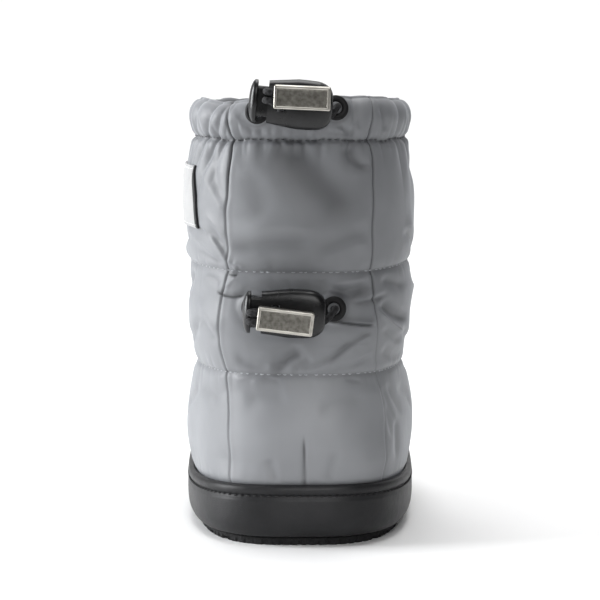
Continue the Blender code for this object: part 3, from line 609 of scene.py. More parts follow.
def puff_at(level):
    """Height of the padding over the seams at fractional rows."""
    level = np.asarray(level, float)
    puff = np.zeros_like(level)
    for channel in CHANNELS:
        share = (level - channel.low_row) / (channel.high_row - channel.low_row)
        inside = (share > 0) & (share < 1)
        puff += np.where(inside, channel.puff * np.sin(np.pi * np.clip(share, 0, 1)) ** PUFF_ROUNDNESS, 0)
    return puff


def foot_ring(angle, outset, height=FOOT_Z):
    """The shell's lowest ring moved sideways, at a height over the floor."""
    step = 1e-3
    ring = base_points(angle, 0.0)
    along = base_points(angle + step, 0.0) - base_points(angle - step, 0.0)
    sideways = np.stack([along[..., 1], -along[..., 0]], axis=-1)
    sideways /= np.linalg.norm(sideways, axis=-1, keepdims=True)
    moved = ring[..., :2] + sideways * np.asarray(outset)[..., None]
    lifted = height + toe_lift(moved[..., 1])
    return np.concatenate([moved, lifted[..., None]], axis=-1)


FINE_LEVELS = np.linspace(0, RIM_ROW, 600)
BACK_HEIGHTS = section_at(FINE_LEVELS)[:, 1]


def level_at_back(height):
    """Row at which the back of the shell has this height."""
    return np.interp(height, BACK_HEIGHTS, FINE_LEVELS)


def back_angle(x, level):
    """Angle at which the back half of a ring has this sideways place."""
    rows = section_at(level)
    share = np.clip(np.abs(x) / rows[..., 4], 0, 1)
    return np.sign(x) * np.arcsin(share ** (rows[..., 6] / 2))


def back_place(x, z):
    """Point and outward normal on the back of the puffed shell."""
    level = float(level_at_back(z))
    search = np.linspace(-math.pi / 2, math.pi / 2, 400)
    normal = normals_of(*tangents(search, level))
    place = base_points(search, level) + normal * puff_at(level)
    angle = np.interp(x, place[:, 0], search)
    normal = normals_of(*tangents(angle, level))
    return Vector(base_points(angle, level) + normal * puff_at(level)), Vector(normal)


# Relief of the cloth over the unpuffed shell

def smoothstep(share):
    """Soft step from 0 to 1."""
    share = np.clip(share, 0, 1)
    return share * share * (3 - 2 * share)


def bell(distance, width):
    """Soft bump of height 1."""
    return np.exp(-(distance / width) ** 2)


def cloud(points, scale, seed):
    """Smooth noise from -1 to 1 at points, with blobs of about the given size."""
    flat = points.reshape(-1, 3) / scale + np.array([seed * 7.3, seed * 3.1, seed * 5.7])
    values = np.array([noise.noise(p) for p in flat.tolist()])
    return values.reshape(points.shape[:-1])


def clouds(points, layers):
    """Noise in layers of a height, a size and a seed."""
    return sum(height * cloud(points, scale, seed) for height, scale, seed in layers)


def clouds_along(run, layers):
    """Layers of noise along a line."""
    return clouds(np.stack([run, 0 * run, 0 * run], axis=-1), layers)


def distance_around(angle, level):
    """Distance round the shell from the middle of the back, signed, read from a table made once."""
    column = (np.mod(angle + math.pi, 2 * math.pi)) / (2 * math.pi) * (ARC.shape[1] - 1)
    row = np.clip(level / RIM_ROW * (ARC.shape[0] - 1), 0, ARC.shape[0] - 1.001)
    column = np.clip(column, 0, ARC.shape[1] - 1.001)
    i, j = row.astype(int), column.astype(int)
    a, b = row - i, column - j
    low = ARC[i, j] * (1 - b) + ARC[i, j + 1] * b
    high = ARC[i + 1, j] * (1 - b) + ARC[i + 1, j + 1] * b
    return low * (1 - a) + high * a


def make_arc_table(rows=61, columns=721):
    """Distances round the rings of the shell, zero at the back."""
    angles = np.linspace(-math.pi, math.pi, columns)
    levels = np.linspace(0, RIM_ROW, rows)
    points = base_points(angles[None, :], levels[:, None])
    steps = np.linalg.norm(np.diff(points, axis=1), axis=-1)
    run = np.concatenate([np.zeros((rows, 1)), np.cumsum(steps, axis=1)], axis=1)
    middle = (columns - 1) // 2
    return run - run[:, middle:middle + 1]


ARC = make_arc_table()


def fold_relief(fold, u, v):
    """Relief of one fold along its bowed line, fading at both ends, and the painted shade along its line."""
    start = np.array([fold.u0, fold.v0]) * MM
    along = np.array([fold.u1, fold.v1]) * MM - start
    length = np.linalg.norm(along)
    width = fold.width * MM
    t = ((u - start[0]) * along[0] + (v - start[1]) * along[1]) / length ** 2
    inside = np.clip(t, 0, 1)
    bow = fold.bend * MM * 4 * inside * (1 - inside)
    off = (-(u - start[0]) * along[1] + (v - start[1]) * along[0]) / length - bow
    stepped = fold.kind in ("tuck", "drag")
    ends = TUCK_ENDS if stepped else FOLD_ENDS
    fade = smoothstep(t / ends) * smoothstep((1 - t) / ends)
    # Painted shade: a tuck gets a sharp dark line at its foot and a soft painted shadow on its raised side, a
    # drag only a soft one on its low side, a trough a soft one along its floor
    if stepped:
        shape = -np.tanh(off / (0.5 * width)) * np.exp(-np.abs(off) / (3.0 * width))
        dark = 1.5 * bell(off - 0.25 * width, 0.55 * width) + 0.35 * bell(off + 1.2 * width, 1.3 * width)
        if fold.kind == "drag":
            dark = 0.16 * bell(off - 0.9 * width, 0.9 * width)
        dark = np.minimum(dark, 1)
    elif fold.kind == "ridge":
        shape = np.exp(-np.sqrt((off / width) ** 2 + 0.09) + 0.3)
        dark = 0.0 * off
    else:
        shape = 0.12 * bell(np.abs(off) - 2.4 * width, 1.3 * width) - bell(off, width)
        dark = 0.26 * fold.depth * bell(off, 0.8 * width)
    return fold.depth * MM * FOLD_GAIN * fade * shape, fade * dark


def between(values, first, last, margin):
    """Which values lie between two places in millimetres, with a margin."""
    return (values > min(first, last) * MM - margin) & (values < max(first, last) * MM + margin)


def pucker(run, seed, pitch):
    """Gathers along a seam, rounded on top and sharp in their valleys, of uneven pitch and height."""
    line = np.stack([run / pitch, np.zeros_like(run), np.full_like(run, seed)], axis=-1)
    phase = run / pitch + 0.55 * cloud(line, 1.6, seed)
    height = 0.55 + 0.45 * cloud(line, 2.7, seed + 1)
    wave = np.abs(np.cos(np.pi * phase)) ** 0.8
    return (2 * wave - 1.2) * height


def collar_wander(run):
    """How far the collar's stitching strays up and down along its run."""
    return clouds_along(run, COLLAR_CLOUDS)


def collar_pleats():
    """Pleats as distances round the collar, those seen from behind first, then random ones to the front."""
    level = level_at_back(COLLAR_SEAM)
    pleats = [(distance_around(back_angle(x, level), level), *shape) for x, *shape in BACK_PLEATS]
    draw = np.random.default_rng(RANDOM_SEED)
    place = FIRST_PLEAT
    while place < ARC[-1, -1] - 0.001:
        for side in (-1, 1):
            shift, *shape = [draw.uniform(*ends) for ends in PLEAT_RANGES]
            pleats.append((side * (place + shift), *shape, 1.0))
        place += draw.uniform(*PLEAT_PITCHES)
    return pleats


class Cloth:
    """The dressed cloth at arrays of angles and levels: points, normals, relief and the painted shade of its
    seams, folds and eyelet edges.
    """

    def __init__(self, angle, level):
        angle, self.level = np.broadcast_arrays(np.asarray(angle, float), np.asarray(level, float))
        self.base = base_points(angle, self.level)
        around, up = tangents(angle, self.level)
        self.normal = normals_of(around, up)
        self.behind = smoothstep((-self.normal[..., 1] - BEHIND_FROM) / BEHIND_FADE)
        self.per_level = np.linalg.norm(up, axis=-1)
        self.run = distance_around(angle, self.level)
        self.back_z = section_at(self.level)[..., 1]
        # Painted shade: darkness painted into the cloth's colour where seams, creases and eyelet edges lie in
        # shade
        self.shade = np.zeros_like(self.run)
        puff = puff_at(self.level)
        form = puff + self.swells() + self.corners() + self.padding()
        detail = self.quilting() + self.panel_seams() + self.gathers() + self.folds()
        hidden = smoothstep((self.level - RELIEF_FADE_ROW) / (RAND_ROW - RELIEF_FADE_ROW))
        self.form = self.flat_at_eyelets(form, puff + EYELET_LIFT) * hidden
        self.detail = (self.flat_at_eyelets(detail, 0.0) + self.dips()) * hidden
        self.shade = np.clip(self.shade, 0, 1)

    def seam_distance(self, row):
        """Distance along the shell from a quilting seam, signed upwards."""
        return (self.level - row) * self.per_level

    def quilting(self):
        """Stitched valleys of the seams, with puckers on both sides and a line of painted shade in each
        valley, broken into dashes along the collar.
        """
        relief = np.zeros_like(self.run)
        for seed, seam in enumerate(QUILT_SEAMS):
            distance = self.seam_distance(seam.row)
            line = SEAM_LINE_DARK
            if seam.row == COLLAR_SEAM_ROW:
                distance = distance - collar_wander(self.run)
                dashes = smoothstep(0.5 + 0.8 * np.cos(2 * np.pi * self.run / STITCH_PITCH))
                line = COLLAR_LINE_LOW + COLLAR_LINE_RISE * dashes
            reach = np.abs(distance)
            swell = np.minimum(reach / PUCKER_PEAK * np.exp(1 - reach / PUCKER_PEAK), 1)
            above = pucker(self.run, ABOVE_SEED + seed, seam.pitch)
            below = pucker(self.run, BELOW_SEED + seed, seam.pitch * BELOW_PITCH)
            relief -= seam.valley * bell(distance, VALLEY_HALF)
            waves = np.where(distance > 0, above, below)
            relief += seam.height * waves * swell * np.exp(-reach / PUCKER_REACH)
            self.shade += line * bell(distance, SEAM_LINE_HALF)
        return relief

    def panel_distance(self, column):
        """Distance from a panel seam, signed to the inner side of the foot."""
        z = self.base[..., 2]
        fine = FINE_WOBBLE * np.sin(z / FINE_WOBBLE_RUN + column)
        wobble = PANEL_WOBBLE * np.sin(z / PANEL_WOBBLE_RUN) + fine
        seam_x = np.interp(z, PANEL_SEAMS[:, 0], PANEL_SEAMS[:, column]) + wobble
        return (self.base[..., 0] - seam_x) / np.maximum(-self.normal[..., 1], 0.3)

    def corners(self):
        """Flat back panel that turns to the sides at its two seams."""
        height = np.interp(self.base[..., 2], *CORNERS.T)
        relief = np.zeros_like(self.run)
        for column, inward in PANEL_SIDES:
            past = -inward * self.panel_distance(column)
            rise = np.clip(1 + past / CORNER_INNER_RUN, 0, 1) ** CORNER_RISE_POWER
            fall = np.exp(-(np.maximum(past, 0) / CORNER_OUTER_RUN) ** CORNER_FALL_POWER)
            relief += self.behind * height * rise * fall
        return relief

    def panel_seams(self):
        """Two sewn seams down the back, each a narrow valley with its allowance raised towards the middle and
        a line of painted shade along it.
        """
        relief = np.zeros_like(self.run)
        for column, inward in PANEL_SIDES:
            distance = self.panel_distance(column)
            dark = np.interp(self.base[..., 2], PANEL_SEAMS[:, 0], PANEL_SEAMS[:, column + 2])
            hollow = PANEL_HOLLOW * bell(distance, PANEL_HOLLOW_HALF)
            valley = (0.25 + 0.55 * dark) * PANEL_VALLEY * bell(distance, PANEL_VALLEY_HALF) + hollow
            allowance = ALLOWANCE * bell(distance - inward * ALLOWANCE_AT, ALLOWANCE_HALF)
            relief += self.behind * (allowance - valley)
            self.shade += dark * self.behind * bell(distance, PANEL_LINE_HALF + PANEL_LINE_SPREAD * dark)
        return relief

    def gathers(self):
        """Pleats of the drawn collar."""
        rise = self.back_z - COLLAR_SEAM
        relief = np.zeros_like(rise)
        for place, lean, depth, width, below, above in collar_pleats():
            distance = np.abs(self.run - place - lean * rise)
            fade = np.where(rise < 0, np.exp(-(rise / below) ** 2), above)
            spread = PLEAT_SPREAD * width * (1 + np.abs(rise) / PLEAT_WIDENING)
            relief -= depth * fade * np.exp(-distance / spread)
            lip = bell(distance - PLEAT_LIP_AT * spread, PLEAT_LIP_HALF * spread)
            relief += PLEAT_LIP * depth * fade * lip
        return relief

    def on_face(self, face):
        """The two coordinates of a face's plane, and how much of each point shows there."""
        first, second, facing = FACES[face]
        seen = smoothstep((self.normal @ np.array(facing) - SEEN_FROM) / SEEN_FADE)
        return self.base[..., first], self.base[..., second], seen

    def folds(self):
        """Relief of the listed folds."""
        relief = np.zeros_like(self.run)
        for face in FACES:
            u, v, seen = self.on_face(face)
            for fold in (Fold(*row) for row in FOLDS[face]):
                margin = (6 * fold.width + abs(fold.bend)) * MM
                near = between(u, fold.u0, fold.u1, margin) & between(v, fold.v0, fold.v1, margin)
                near &= seen > 0
                height, dark = fold_relief(fold, u[near], v[near])
                relief[near] += seen[near] * height
                # Painted shade of the folds
                self.shade[near] += seen[near] * dark
        return relief

    def swells(self):
        """Relief of the swellings and hollows, and of the heel panel, which leans to the outer side."""
        relief = np.zeros_like(self.run)
        for swell in SWELLS:
            u, v, seen = self.on_face(swell.face)
            across = (u - swell.u * MM) / (swell.half_u * MM)
            up = (v - swell.v * MM) / (swell.half_v * MM)
            relief += seen * swell.height * MM * np.exp(-across ** 2 - up ** 2)
        x, z, seen = self.on_face("back")
        window = smoothstep((z - RAND_TOP) / HEEL_FADE) * smoothstep((LOWER_SEAM - z) / HEEL_FADE)
        lean = np.clip(x / HEEL_HALF, -1, 1) * smoothstep((HEEL_EDGE - np.abs(x)) / HEEL_EDGE_FADE)
        return relief + HEEL_TILT * seen * window * lean

    def padding(self):
        """Uneven filling, soft and broad, with finer wrinkles near the seams."""
        soft = clouds(self.base, PADDING_CLOUDS)
        wrinkle = WRINKLE * (1 - 2 * np.abs(cloud(self.base, WRINKLE_SIZE, WRINKLE_SEED)))
        nearest = np.min([np.abs(self.seam_distance(row)) for row in SEWN_ROWS], axis=0)
        near_seams = 0.4 + 0.6 * np.exp(-nearest / WRINKLE_REACH)
        return soft * smoothstep(nearest / PADDING_FREE) + wrinkle * near_seams

    def eyelet_distances(self):
        """Distance of each point from each eyelet's middle."""
        for lock in LOCKS:
            for x, z in (lock.left_eyelet, lock.right_eyelet):
                distance = np.hypot(self.base[..., 0] - x, self.base[..., 2] - z)
                yield np.where(self.normal[..., 1] < 0, distance, 1.0)

    def dips(self):
        """Small dip round each eyelet, with painted shade round its edge, and a line of painted shade along
        the heel's dart.
        """
        relief = np.zeros_like(self.run)
        for distance in self.eyelet_distances():
            relief -= EYELET_DIP * bell(distance - EYELET_DIP_AT, EYELET_DIP_HALF)
            self.shade += EYELET_LINE_DARK * bell(distance - EYELET_LINE_AT, EYELET_LINE_HALF)
        x, z, seen = self.on_face("back")
        below_top = smoothstep((HEEL_DART.v0 * MM - z) / DART_FADE)
        self.shade += DART_LINE_DARK * seen * below_top * bell(x - HEEL_DART.u0 * MM, DART_LINE_HALF)
        return relief

    def flat_at_eyelets(self, relief, plain):
        """Relief that is plain under the eyelets, where the cloth lies flat."""
        for distance in self.eyelet_distances():
            flat = 1 - smoothstep((distance - EYELET_FLAT) / EYELET_FLAT_FADE)
            relief = relief * (1 - flat) + plain * flat
        return relief


# Mesh builders

def link_object(name, data):
    """A new object in the scene."""
    made = bpy.data.objects.new(name, data)
    bpy.context.scene.collection.objects.link(made)
    return made


def set_shading(mesh, smooth_angle=None):
    """Shades a mesh smooth, with edges sharp above an angle."""
    mesh.shade_smooth()
    if smooth_angle:
        mesh.set_sharp_from_angle(angle=math.radians(smooth_angle))


def finish_mesh(name, points, faces, finishes, smooth_angle=None):
    """An object from points in the frame and faces, shaded smooth."""
    mesh = bpy.data.meshes.new(name)
    mesh.from_pydata(np.asarray(points).reshape(-1, 3).tolist(), [], faces)
    mesh.validate()
    for finish in finishes:
        mesh.materials.append(finish)
    set_shading(mesh, smooth_angle)
    return link_object(name, mesh)


def declare(piece, node=None, body="boot"):
    """Says which solid a piece replaces and the body that carries it."""
    if node:
        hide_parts(node)
    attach(piece, body)


def grid_faces(rows, columns, closed, start=0, looped=False):
    """Quads of a grid whose rows run up and whose columns run round. A looped grid also closes upwards."""
    i, j = np.meshgrid(np.arange(rows if looped else rows - 1), np.arange(columns if closed else columns - 1),
                       indexing="ij")
    k = (j + 1) % columns
    above = (i + 1) % rows
    quads = np.stack([i * columns + j, i * columns + k, above * columns + k, above * columns + j], axis=-1)
    return (quads.reshape(-1, 4) + start).tolist()


def set_uv(piece, uv, columns, closed):
    """Gives a grid its map. The array has one more column than a closed grid, for the last quads."""
    mesh = piece.data
    layer = mesh.uv_layers.new(name="map")
    loops = np.zeros(len(mesh.loops), np.int32)
    mesh.loops.foreach_get("vertex_index", loops)
    row, column = np.divmod(loops, columns)
    if closed:
        quads = np.arange(len(loops)) // 4
        last = quads % columns == columns - 1
        column = np.where(last & (column == 0), columns, column)
    layer.data.foreach_set("uv", uv[row, column].astype(np.float32).ravel())


def set_value(piece, name, values):
    """A number for each vertex, which a material reads."""
    attribute = piece.data.attributes.new(name, "FLOAT", "POINT")
    attribute.data.foreach_set("value", np.asarray(values, np.float32).ravel())


def grid_piece(name, rings, finishes, capped=True, smooth_angle=None):
    """A mesh through rings of points in the frame, with a face at each end where it is capped."""
    rows, columns = np.shape(rings)[:2]
    faces = grid_faces(rows, columns, True)
    if capped:
        faces.append(list(range(columns))[::-1])
        faces.append([(rows - 1) * columns + j for j in range(columns)])
    return finish_mesh(name, rings, faces, finishes, smooth_angle)


def turn_out(piece):
    """Points the faces of a closed mesh outwards."""
    bm = bmesh.new()
    bm.from_mesh(piece.data)
    bmesh.ops.recalc_face_normals(bm, faces=bm.faces)
    bm.to_mesh(piece.data)
    bm.free()
    return piece


def cut_boxes(piece, boxes, smooth_angle):
    """Cuts boxes, each a place and a size, out of a closed mesh."""
    bm = bmesh.new()
    for place, size in boxes:
        bmesh.ops.create_cube(bm, size=1.0, matrix=place @ Matrix.Diagonal((*size, 1.0)))
    mesh = bpy.data.meshes.new("cutter")
    bm.to_mesh(mesh)
    bm.free()
    cutter = link_object("cutter", mesh)
    modifier = piece.modifiers.new("cut", "BOOLEAN")
    modifier.operation = "DIFFERENCE"
    modifier.object = cutter
    graph = bpy.context.evaluated_depsgraph_get()
    mesh = bpy.data.meshes.new_from_object(piece.evaluated_get(graph))
    piece.modifiers.clear()
    piece.data = mesh
    bpy.data.objects.remove(cutter)
    set_shading(piece.data, smooth_angle)


def run_along(points):
    """Distance of each point from the first, along a line of points."""
    return np.concatenate([[0], np.cumsum(np.linalg.norm(np.diff(points, axis=0), axis=1))])


def smooth_path(points, count):
    """Evenly spaced points on a smooth curve through a route."""
    points = np.array(points)
    ends = np.vstack([2 * points[0] - points[1], points, 2 * points[-1] - points[-2]])
    fine = []
    for a, b, c, d in zip(ends, ends[1:], ends[2:], ends[3:]):
        for t in np.linspace(0, 1, 20, endpoint=False):
            fine.append(0.5 * (2 * b + (c - a) * t + (2 * a - 5 * b + 4 * c - d) * t ** 2
                               + (3 * b - a - 3 * c + d) * t ** 3))
    fine = np.array(fine + [points[-1]])
    length = run_along(fine)
    wanted = np.linspace(0, length[-1], count)
    return np.column_stack([np.interp(wanted, length, column) for column in fine.T])


def tube(name, path, radius, sides, finish):
    """A round tube along a path, with rounded ends and a map that runs along it."""
    along = np.gradient(path, axis=0)
    along /= np.linalg.norm(along, axis=1, keepdims=True)
    side = np.cross(along[0], [0.0, 0.0, 1.0])
    turn = np.linspace(0, 2 * math.pi, sides, endpoint=False)
    round_ends = ((0.3, 0.30), (0.75, 0.15))
    rings = []
    for point, forward in zip(path, along):
        side = side - forward * (side @ forward)
        side /= np.linalg.norm(side)
        ring = radius * (np.cos(turn)[:, None] * side + np.sin(turn)[:, None] * np.cross(forward, side))
        if not rings:
            rings.extend(point + ring * share - forward * radius * past for share, past in round_ends)
        rings.append(point + ring)
    rings.extend(path[-1] + ring * share + along[-1] * radius * past for share, past in round_ends[::-1])
    piece = grid_piece(name, rings, [finish], capped=False)
    runs = np.pad(run_along(path), len(round_ends), mode="edge")
    u, v = np.meshgrid(np.linspace(0, 1, sides + 1), runs / (2 * math.pi * radius))
    set_uv(piece, np.stack([u, v], axis=-1), sides, True)
    return piece


def stitch_mesh(name, lines, finish, pitch=STITCH_PITCH, length=STITCH_LENGTH, radius=STITCH_RADIUS,
                uneven=0.0):
    """Stitches along lines of points and normals, joined in one mesh: each is a small arched thread."""
    points, faces = [], []
    turn = np.linspace(0, 2 * math.pi, STITCH_SIDES, endpoint=False)
    shares = np.linspace(-0.5, 0.5, STITCH_RINGS)
    draw = np.random.default_rng(RANDOM_SEED)
    for line, normals in lines:
        run = run_along(line)
        count = int(run[-1] / pitch)
        for k in range(count):
            middle = (k + 0.5 + uneven * draw.uniform(-0.25, 0.25)) * run[-1] / count
            places = middle + shares * length * (1 - uneven * draw.uniform(0, 0.4))
            sunk = uneven * draw.uniform(0, 0.7)
            centre = np.column_stack([np.interp(places, run, column) for column in line.T])
            normal = np.array([np.interp(middle, run, column) for column in normals.T])
            forward = centre[-1] - centre[0]
            forward /= np.linalg.norm(forward)
            side = np.cross(forward, normal)
            side /= np.linalg.norm(side)
            normal = np.cross(side, forward)
            start = len(points)
            for place, arch in zip(centre, np.cos(np.pi * shares)):
                thick = radius * (0.45 + 0.55 * arch)
                ring = thick * (np.cos(turn)[:, None] * side + np.sin(turn)[:, None] * normal)
                points.extend(place + normal * radius * (1.5 * arch - 0.9 - sunk) + ring)
            faces.extend(grid_faces(STITCH_RINGS, STITCH_SIDES, True, start))
            faces.append([start + j for j in range(STITCH_SIDES)][::-1])
            faces.append([start + (STITCH_RINGS - 1) * STITCH_SIDES + j for j in range(STITCH_SIDES)])
    return finish_mesh(name, to_frame(points), faces, [finish])


# Materials

MAP_UNIT = 0.001


class Finish:
    """A node material around one Principled shader, with short calls for the nodes that repeat."""

    def __init__(self, name, colour, roughness, metallic=0.0, **sockets):
        self.material = bpy.data.materials.new(name)
        self.material.use_nodes = True
        self.tree = self.material.node_tree
        self.shader = self.tree.nodes["Principled BSDF"]
        self.feed(self.shader, Base_Color=(*colour, 1.0), Roughness=roughness, Metallic=metallic, **sockets)
        self.place = self.node("ShaderNodeTexCoord")
        self.last_bump = None

    def node(self, kind, **settings):
        """A new node with its settings."""
        made = self.tree.nodes.new(kind)
        for key, value in settings.items():
            setattr(made, key, value)
        return made

    def feed(self, node, **inputs):
        """Sets a node's inputs to values, or links them to outputs. An underscore stands for a space."""
        for name, value in inputs.items():
            socket = node.inputs[name.replace("_", " ")]
            if isinstance(value, bpy.types.NodeSocket):
                self.tree.links.new(value, socket)
            else:
                socket.default_value = value
        return node

    def stretched(self, source, stretch):
        """Places on the object or on its map, stretched."""
        mapping = self.node("ShaderNodeMapping")
        return self.feed(mapping, Scale=stretch, Vector=self.place.outputs[source]).outputs["Vector"]

    def noise(self, scale, detail=2.0, stretch=(1, 1, 1)):
        """Noise over the object."""
        made = self.node("ShaderNodeTexNoise")
        self.feed(made, Scale=scale, Detail=detail, Vector=self.stretched("Object", stretch))
        return made.outputs["Fac"]

    def cells(self, scale):
        """Edges of small cells over the object."""
        made = self.node("ShaderNodeTexVoronoi", feature="DISTANCE_TO_EDGE")
        return self.feed(made, Scale=scale, Vector=self.place.outputs["Object"]).outputs["Distance"]

    def wave(self, scale, direction, stretch=(1, 1, 1)):
        """Stripes over the map."""
        made = self.node("ShaderNodeTexWave", bands_direction=direction)
        return self.feed(made, Scale=scale, Vector=self.stretched("UV", stretch)).outputs["Fac"]

    def math(self, operation, first, second):
        """Two values put together."""
        made = self.node("ShaderNodeMath", operation=operation)
        for socket, value in zip(made.inputs, (first, second)):
            if isinstance(value, float):
                socket.default_value = value
            else:
                self.tree.links.new(value, socket)
        return made.outputs["Value"]

    def ramp(self, factor, low, high, start=0.3, end=0.7):
        """Colours from one to another."""
        made = self.feed(self.node("ShaderNodeValToRGB"), Fac=factor)
        for element, place, colour in zip(made.color_ramp.elements, (start, end), (low, high)):
            element.position = place
            element.color = (*colour, 1.0)
        return made.outputs["Color"]

    def mix(self, factor, first, second):
        """A colour that goes over into a plain one."""
        made = self.feed(self.node("ShaderNodeMix", data_type="RGBA"), Factor=factor)
        from_colour, to_colour = (socket for socket in made.inputs if socket.type == "RGBA")
        self.tree.links.new(first, from_colour)
        to_colour.default_value = (*second, 1.0)
        return next(socket for socket in made.outputs if socket.type == "RGBA")

    def colour(self, source):
        """Gives the shader its colour."""
        self.feed(self.shader, Base_Color=source)

    def spots(self, grain, low, high, start=0.3, end=0.7):
        """Gives the shader spots of two colours."""
        self.colour(self.ramp(self.noise(*grain), low, high, start, end))

    def drift(self, grain, low, high):
        """Gives the shader a roughness that drifts between two values."""
        made = self.feed(self.node("ShaderNodeMapRange"), To_Min=low, To_Max=high, Value=self.noise(*grain))
        self.feed(self.shader, Roughness=made.outputs["Result"])

    def bump(self, height, strength, distance):
        """Gives the shader one more bump, on top of the last."""
        made = self.feed(self.node("ShaderNodeBump"), Strength=strength, Distance=distance, Height=height)
        if self.last_bump:
            self.feed(made, Normal=self.last_bump)
        self.last_bump = made.outputs["Normal"]
        self.feed(self.shader, Normal=self.last_bump)


def nylon_finish():
    """Satin grey nylon: fine plain weave, faint cool and warm drift, and painted shade in its seams, creases
    and round the eyelets.
    """
    finish = Finish("shell_nylon", (0.20, 0.206, 0.216), 0.5, Sheen_Weight=0.22, Sheen_Roughness=0.35,
                    Sheen_Tint=(0.86, 0.91, 1.0, 1.0), Specular_IOR_Level=0.42)
    grey = finish.ramp(finish.noise(38.0), (0.172, 0.177, 0.187), (0.214, 0.220, 0.231))
    thread = finish.math("MULTIPLY", finish.wave(1.15, "X"), finish.wave(1.15, "Y"))
    woven = finish.mix(finish.math("MULTIPLY", thread, 0.16), grey, (0.12, 0.123, 0.130))
    # The shade attribute holds painted shade, mixed here into the colour towards near black
    painted_shade_mask = finish.node("ShaderNodeAttribute", attribute_name="shade").outputs["Fac"]
    finish.colour(finish.mix(painted_shade_mask, woven, (0.022, 0.023, 0.025)))
    finish.drift((160.0, 3.0), 0.43, 0.56)
    finish.bump(thread, 0.12, 0.00008)
    finish.bump(finish.noise(700.0, 3.0), 0.10, 0.0002)
    return finish.material


def lining_finish():
    """Short grey fleece."""
    finish = Finish("lining_fleece", (0.10, 0.10, 0.105), 0.95, Sheen_Weight=0.5, Specular_IOR_Level=0.15)
    finish.spots((900.0, 4.0), (0.070, 0.070, 0.074), (0.150, 0.150, 0.156))
    finish.bump(finish.noise(1500.0, 3.0), 0.6, 0.0004)
    finish.bump(finish.noise(420.0, 3.0), 0.5, 0.0010)
    return finish.material


def insole_finish():
    """Brushed grey pile."""
    finish = Finish("insole_pile", (0.20, 0.20, 0.21), 0.95, Sheen_Weight=0.4)
    finish.spots((1100.0, 4.0), (0.13, 0.13, 0.137), (0.25, 0.25, 0.26))
    finish.bump(finish.noise(1700.0, 3.0), 0.6, 0.0004)
    return finish.material


def leather_finish():
    """Black leather-look band with fine grain."""
    finish = Finish("rand_leather", (0.014, 0.014, 0.015), 0.42, Specular_IOR_Level=0.24, Coat_Weight=0.03,
                    Coat_Roughness=0.35)
    finish.spots((70.0, 3.0), (0.010, 0.010, 0.011), (0.018, 0.018, 0.0195))
    finish.drift((240.0, 3.0), 0.40, 0.55)
    finish.bump(finish.cells(1500.0), 0.22, 0.0003)
    finish.bump(finish.noise(520.0, 4.0), 0.22, 0.0004)
    return finish.material


def rubber_finish():
    """Matt black rubber with a pebbled skin."""
    finish = Finish("outsole_rubber", (0.022, 0.022, 0.023), 0.75, Specular_IOR_Level=0.25)
    finish.spots((260.0, 4.0), (0.008, 0.008, 0.0085), (0.020, 0.020, 0.021))
    finish.drift((300.0, 3.0), 0.70, 0.88)
    finish.bump(finish.cells(900.0), 0.7, 0.0006)
    finish.bump(finish.noise(1200.0, 3.0), 0.4, 0.0003)
    return finish.material


def plastic_finish():
    """Moulded black plastic, satin, with a fine spark-eroded skin."""
    finish = Finish("lock_plastic", (0.016, 0.016, 0.017), 0.36, Specular_IOR_Level=0.42)
    finish.spots((300.0, 3.0), (0.005, 0.005, 0.0055), (0.010, 0.010, 0.0108))
    finish.drift((500.0, 3.0), 0.24, 0.34)
    finish.bump(finish.noise(2600.0, 3.0), 0.16, 0.00015)
    return finish.material


def enamel_finish():
    """Black enamel of the eyelets."""
    finish = Finish("eyelet_enamel", (0.012, 0.012, 0.013), 0.3, Specular_IOR_Level=0.22)
    finish.spots((400.0, 2.0), (0.004, 0.004, 0.0045), (0.008, 0.008, 0.0085))
    finish.drift((600.0, 2.0), 0.40, 0.55)
    finish.bump(finish.noise(900.0, 2.0), 0.08, 0.0002)
    return finish.material


def rim_finish():
    """Antique nickel, polished on the raised frame."""
    finish = Finish("clip_rim", (0.56, 0.54, 0.49), 0.3, 1.0)
    finish.spots((900.0, 3.0, (0.2, 1, 1)), (0.36, 0.345, 0.31), (0.54, 0.52, 0.475))
    finish.drift((1100.0, 3.0, (0.15, 1, 1)), 0.24, 0.42)
    finish.bump(finish.noise(1500.0, 3.0, (0.1, 1, 1)), 0.12, 0.0002)
    return finish.material


def panel_finish():
    """The sunk face of the clips, darkened nickel."""
    finish = Finish("clip_panel", (0.22, 0.21, 0.185), 0.45, 1.0)
    finish.spots((700.0, 4.0), (0.115, 0.109, 0.095), (0.250, 0.240, 0.216), 0.3, 0.75)
    finish.drift((900.0, 3.0), 0.38, 0.58)
    finish.bump(finish.noise(1400.0, 3.0), 0.25, 0.0002)
    return finish.material


def cord_finish():
    """Black braided elastic: two sets of yarns that cross round the cord."""
    finish = Finish("cord_braid", (0.018, 0.018, 0.020), 0.7, Sheen_Weight=0.05, Specular_IOR_Level=0.25)
    braid = finish.math("MAXIMUM", finish.wave(2.2, "DIAGONAL"), finish.wave(2.2, "DIAGONAL", (-1, 1, 1)))
    finish.colour(finish.ramp(braid, (0.004, 0.004, 0.0045), (0.015, 0.015, 0.0165), 0.0, 1.0))
    finish.bump(braid, 0.7, 0.0003)
    return finish.material


def woven_finish(name, low, high):
    """Damask weave of the label."""
    finish = Finish(name, high, 0.75, Sheen_Weight=0.1)
    thread = finish.math("MULTIPLY", finish.wave(1.5, "X"), finish.wave(0.9, "Y"))
    finish.colour(finish.ramp(thread, low, high, 0.0, 1.0))
    finish.bump(thread, 0.4, 0.00015)
    return finish.material


def thread_finish(name, low, high, roughness=0.6, sheen=0.2):
    """Sewing thread, twisted."""
    finish = Finish(name, high, roughness, Sheen_Weight=sheen)
    finish.spots((2400.0, 2.0), low, high)
    finish.bump(finish.noise(3200.0, 2.0), 0.4, 0.0001)
    return finish.material


# Pieces of the shell

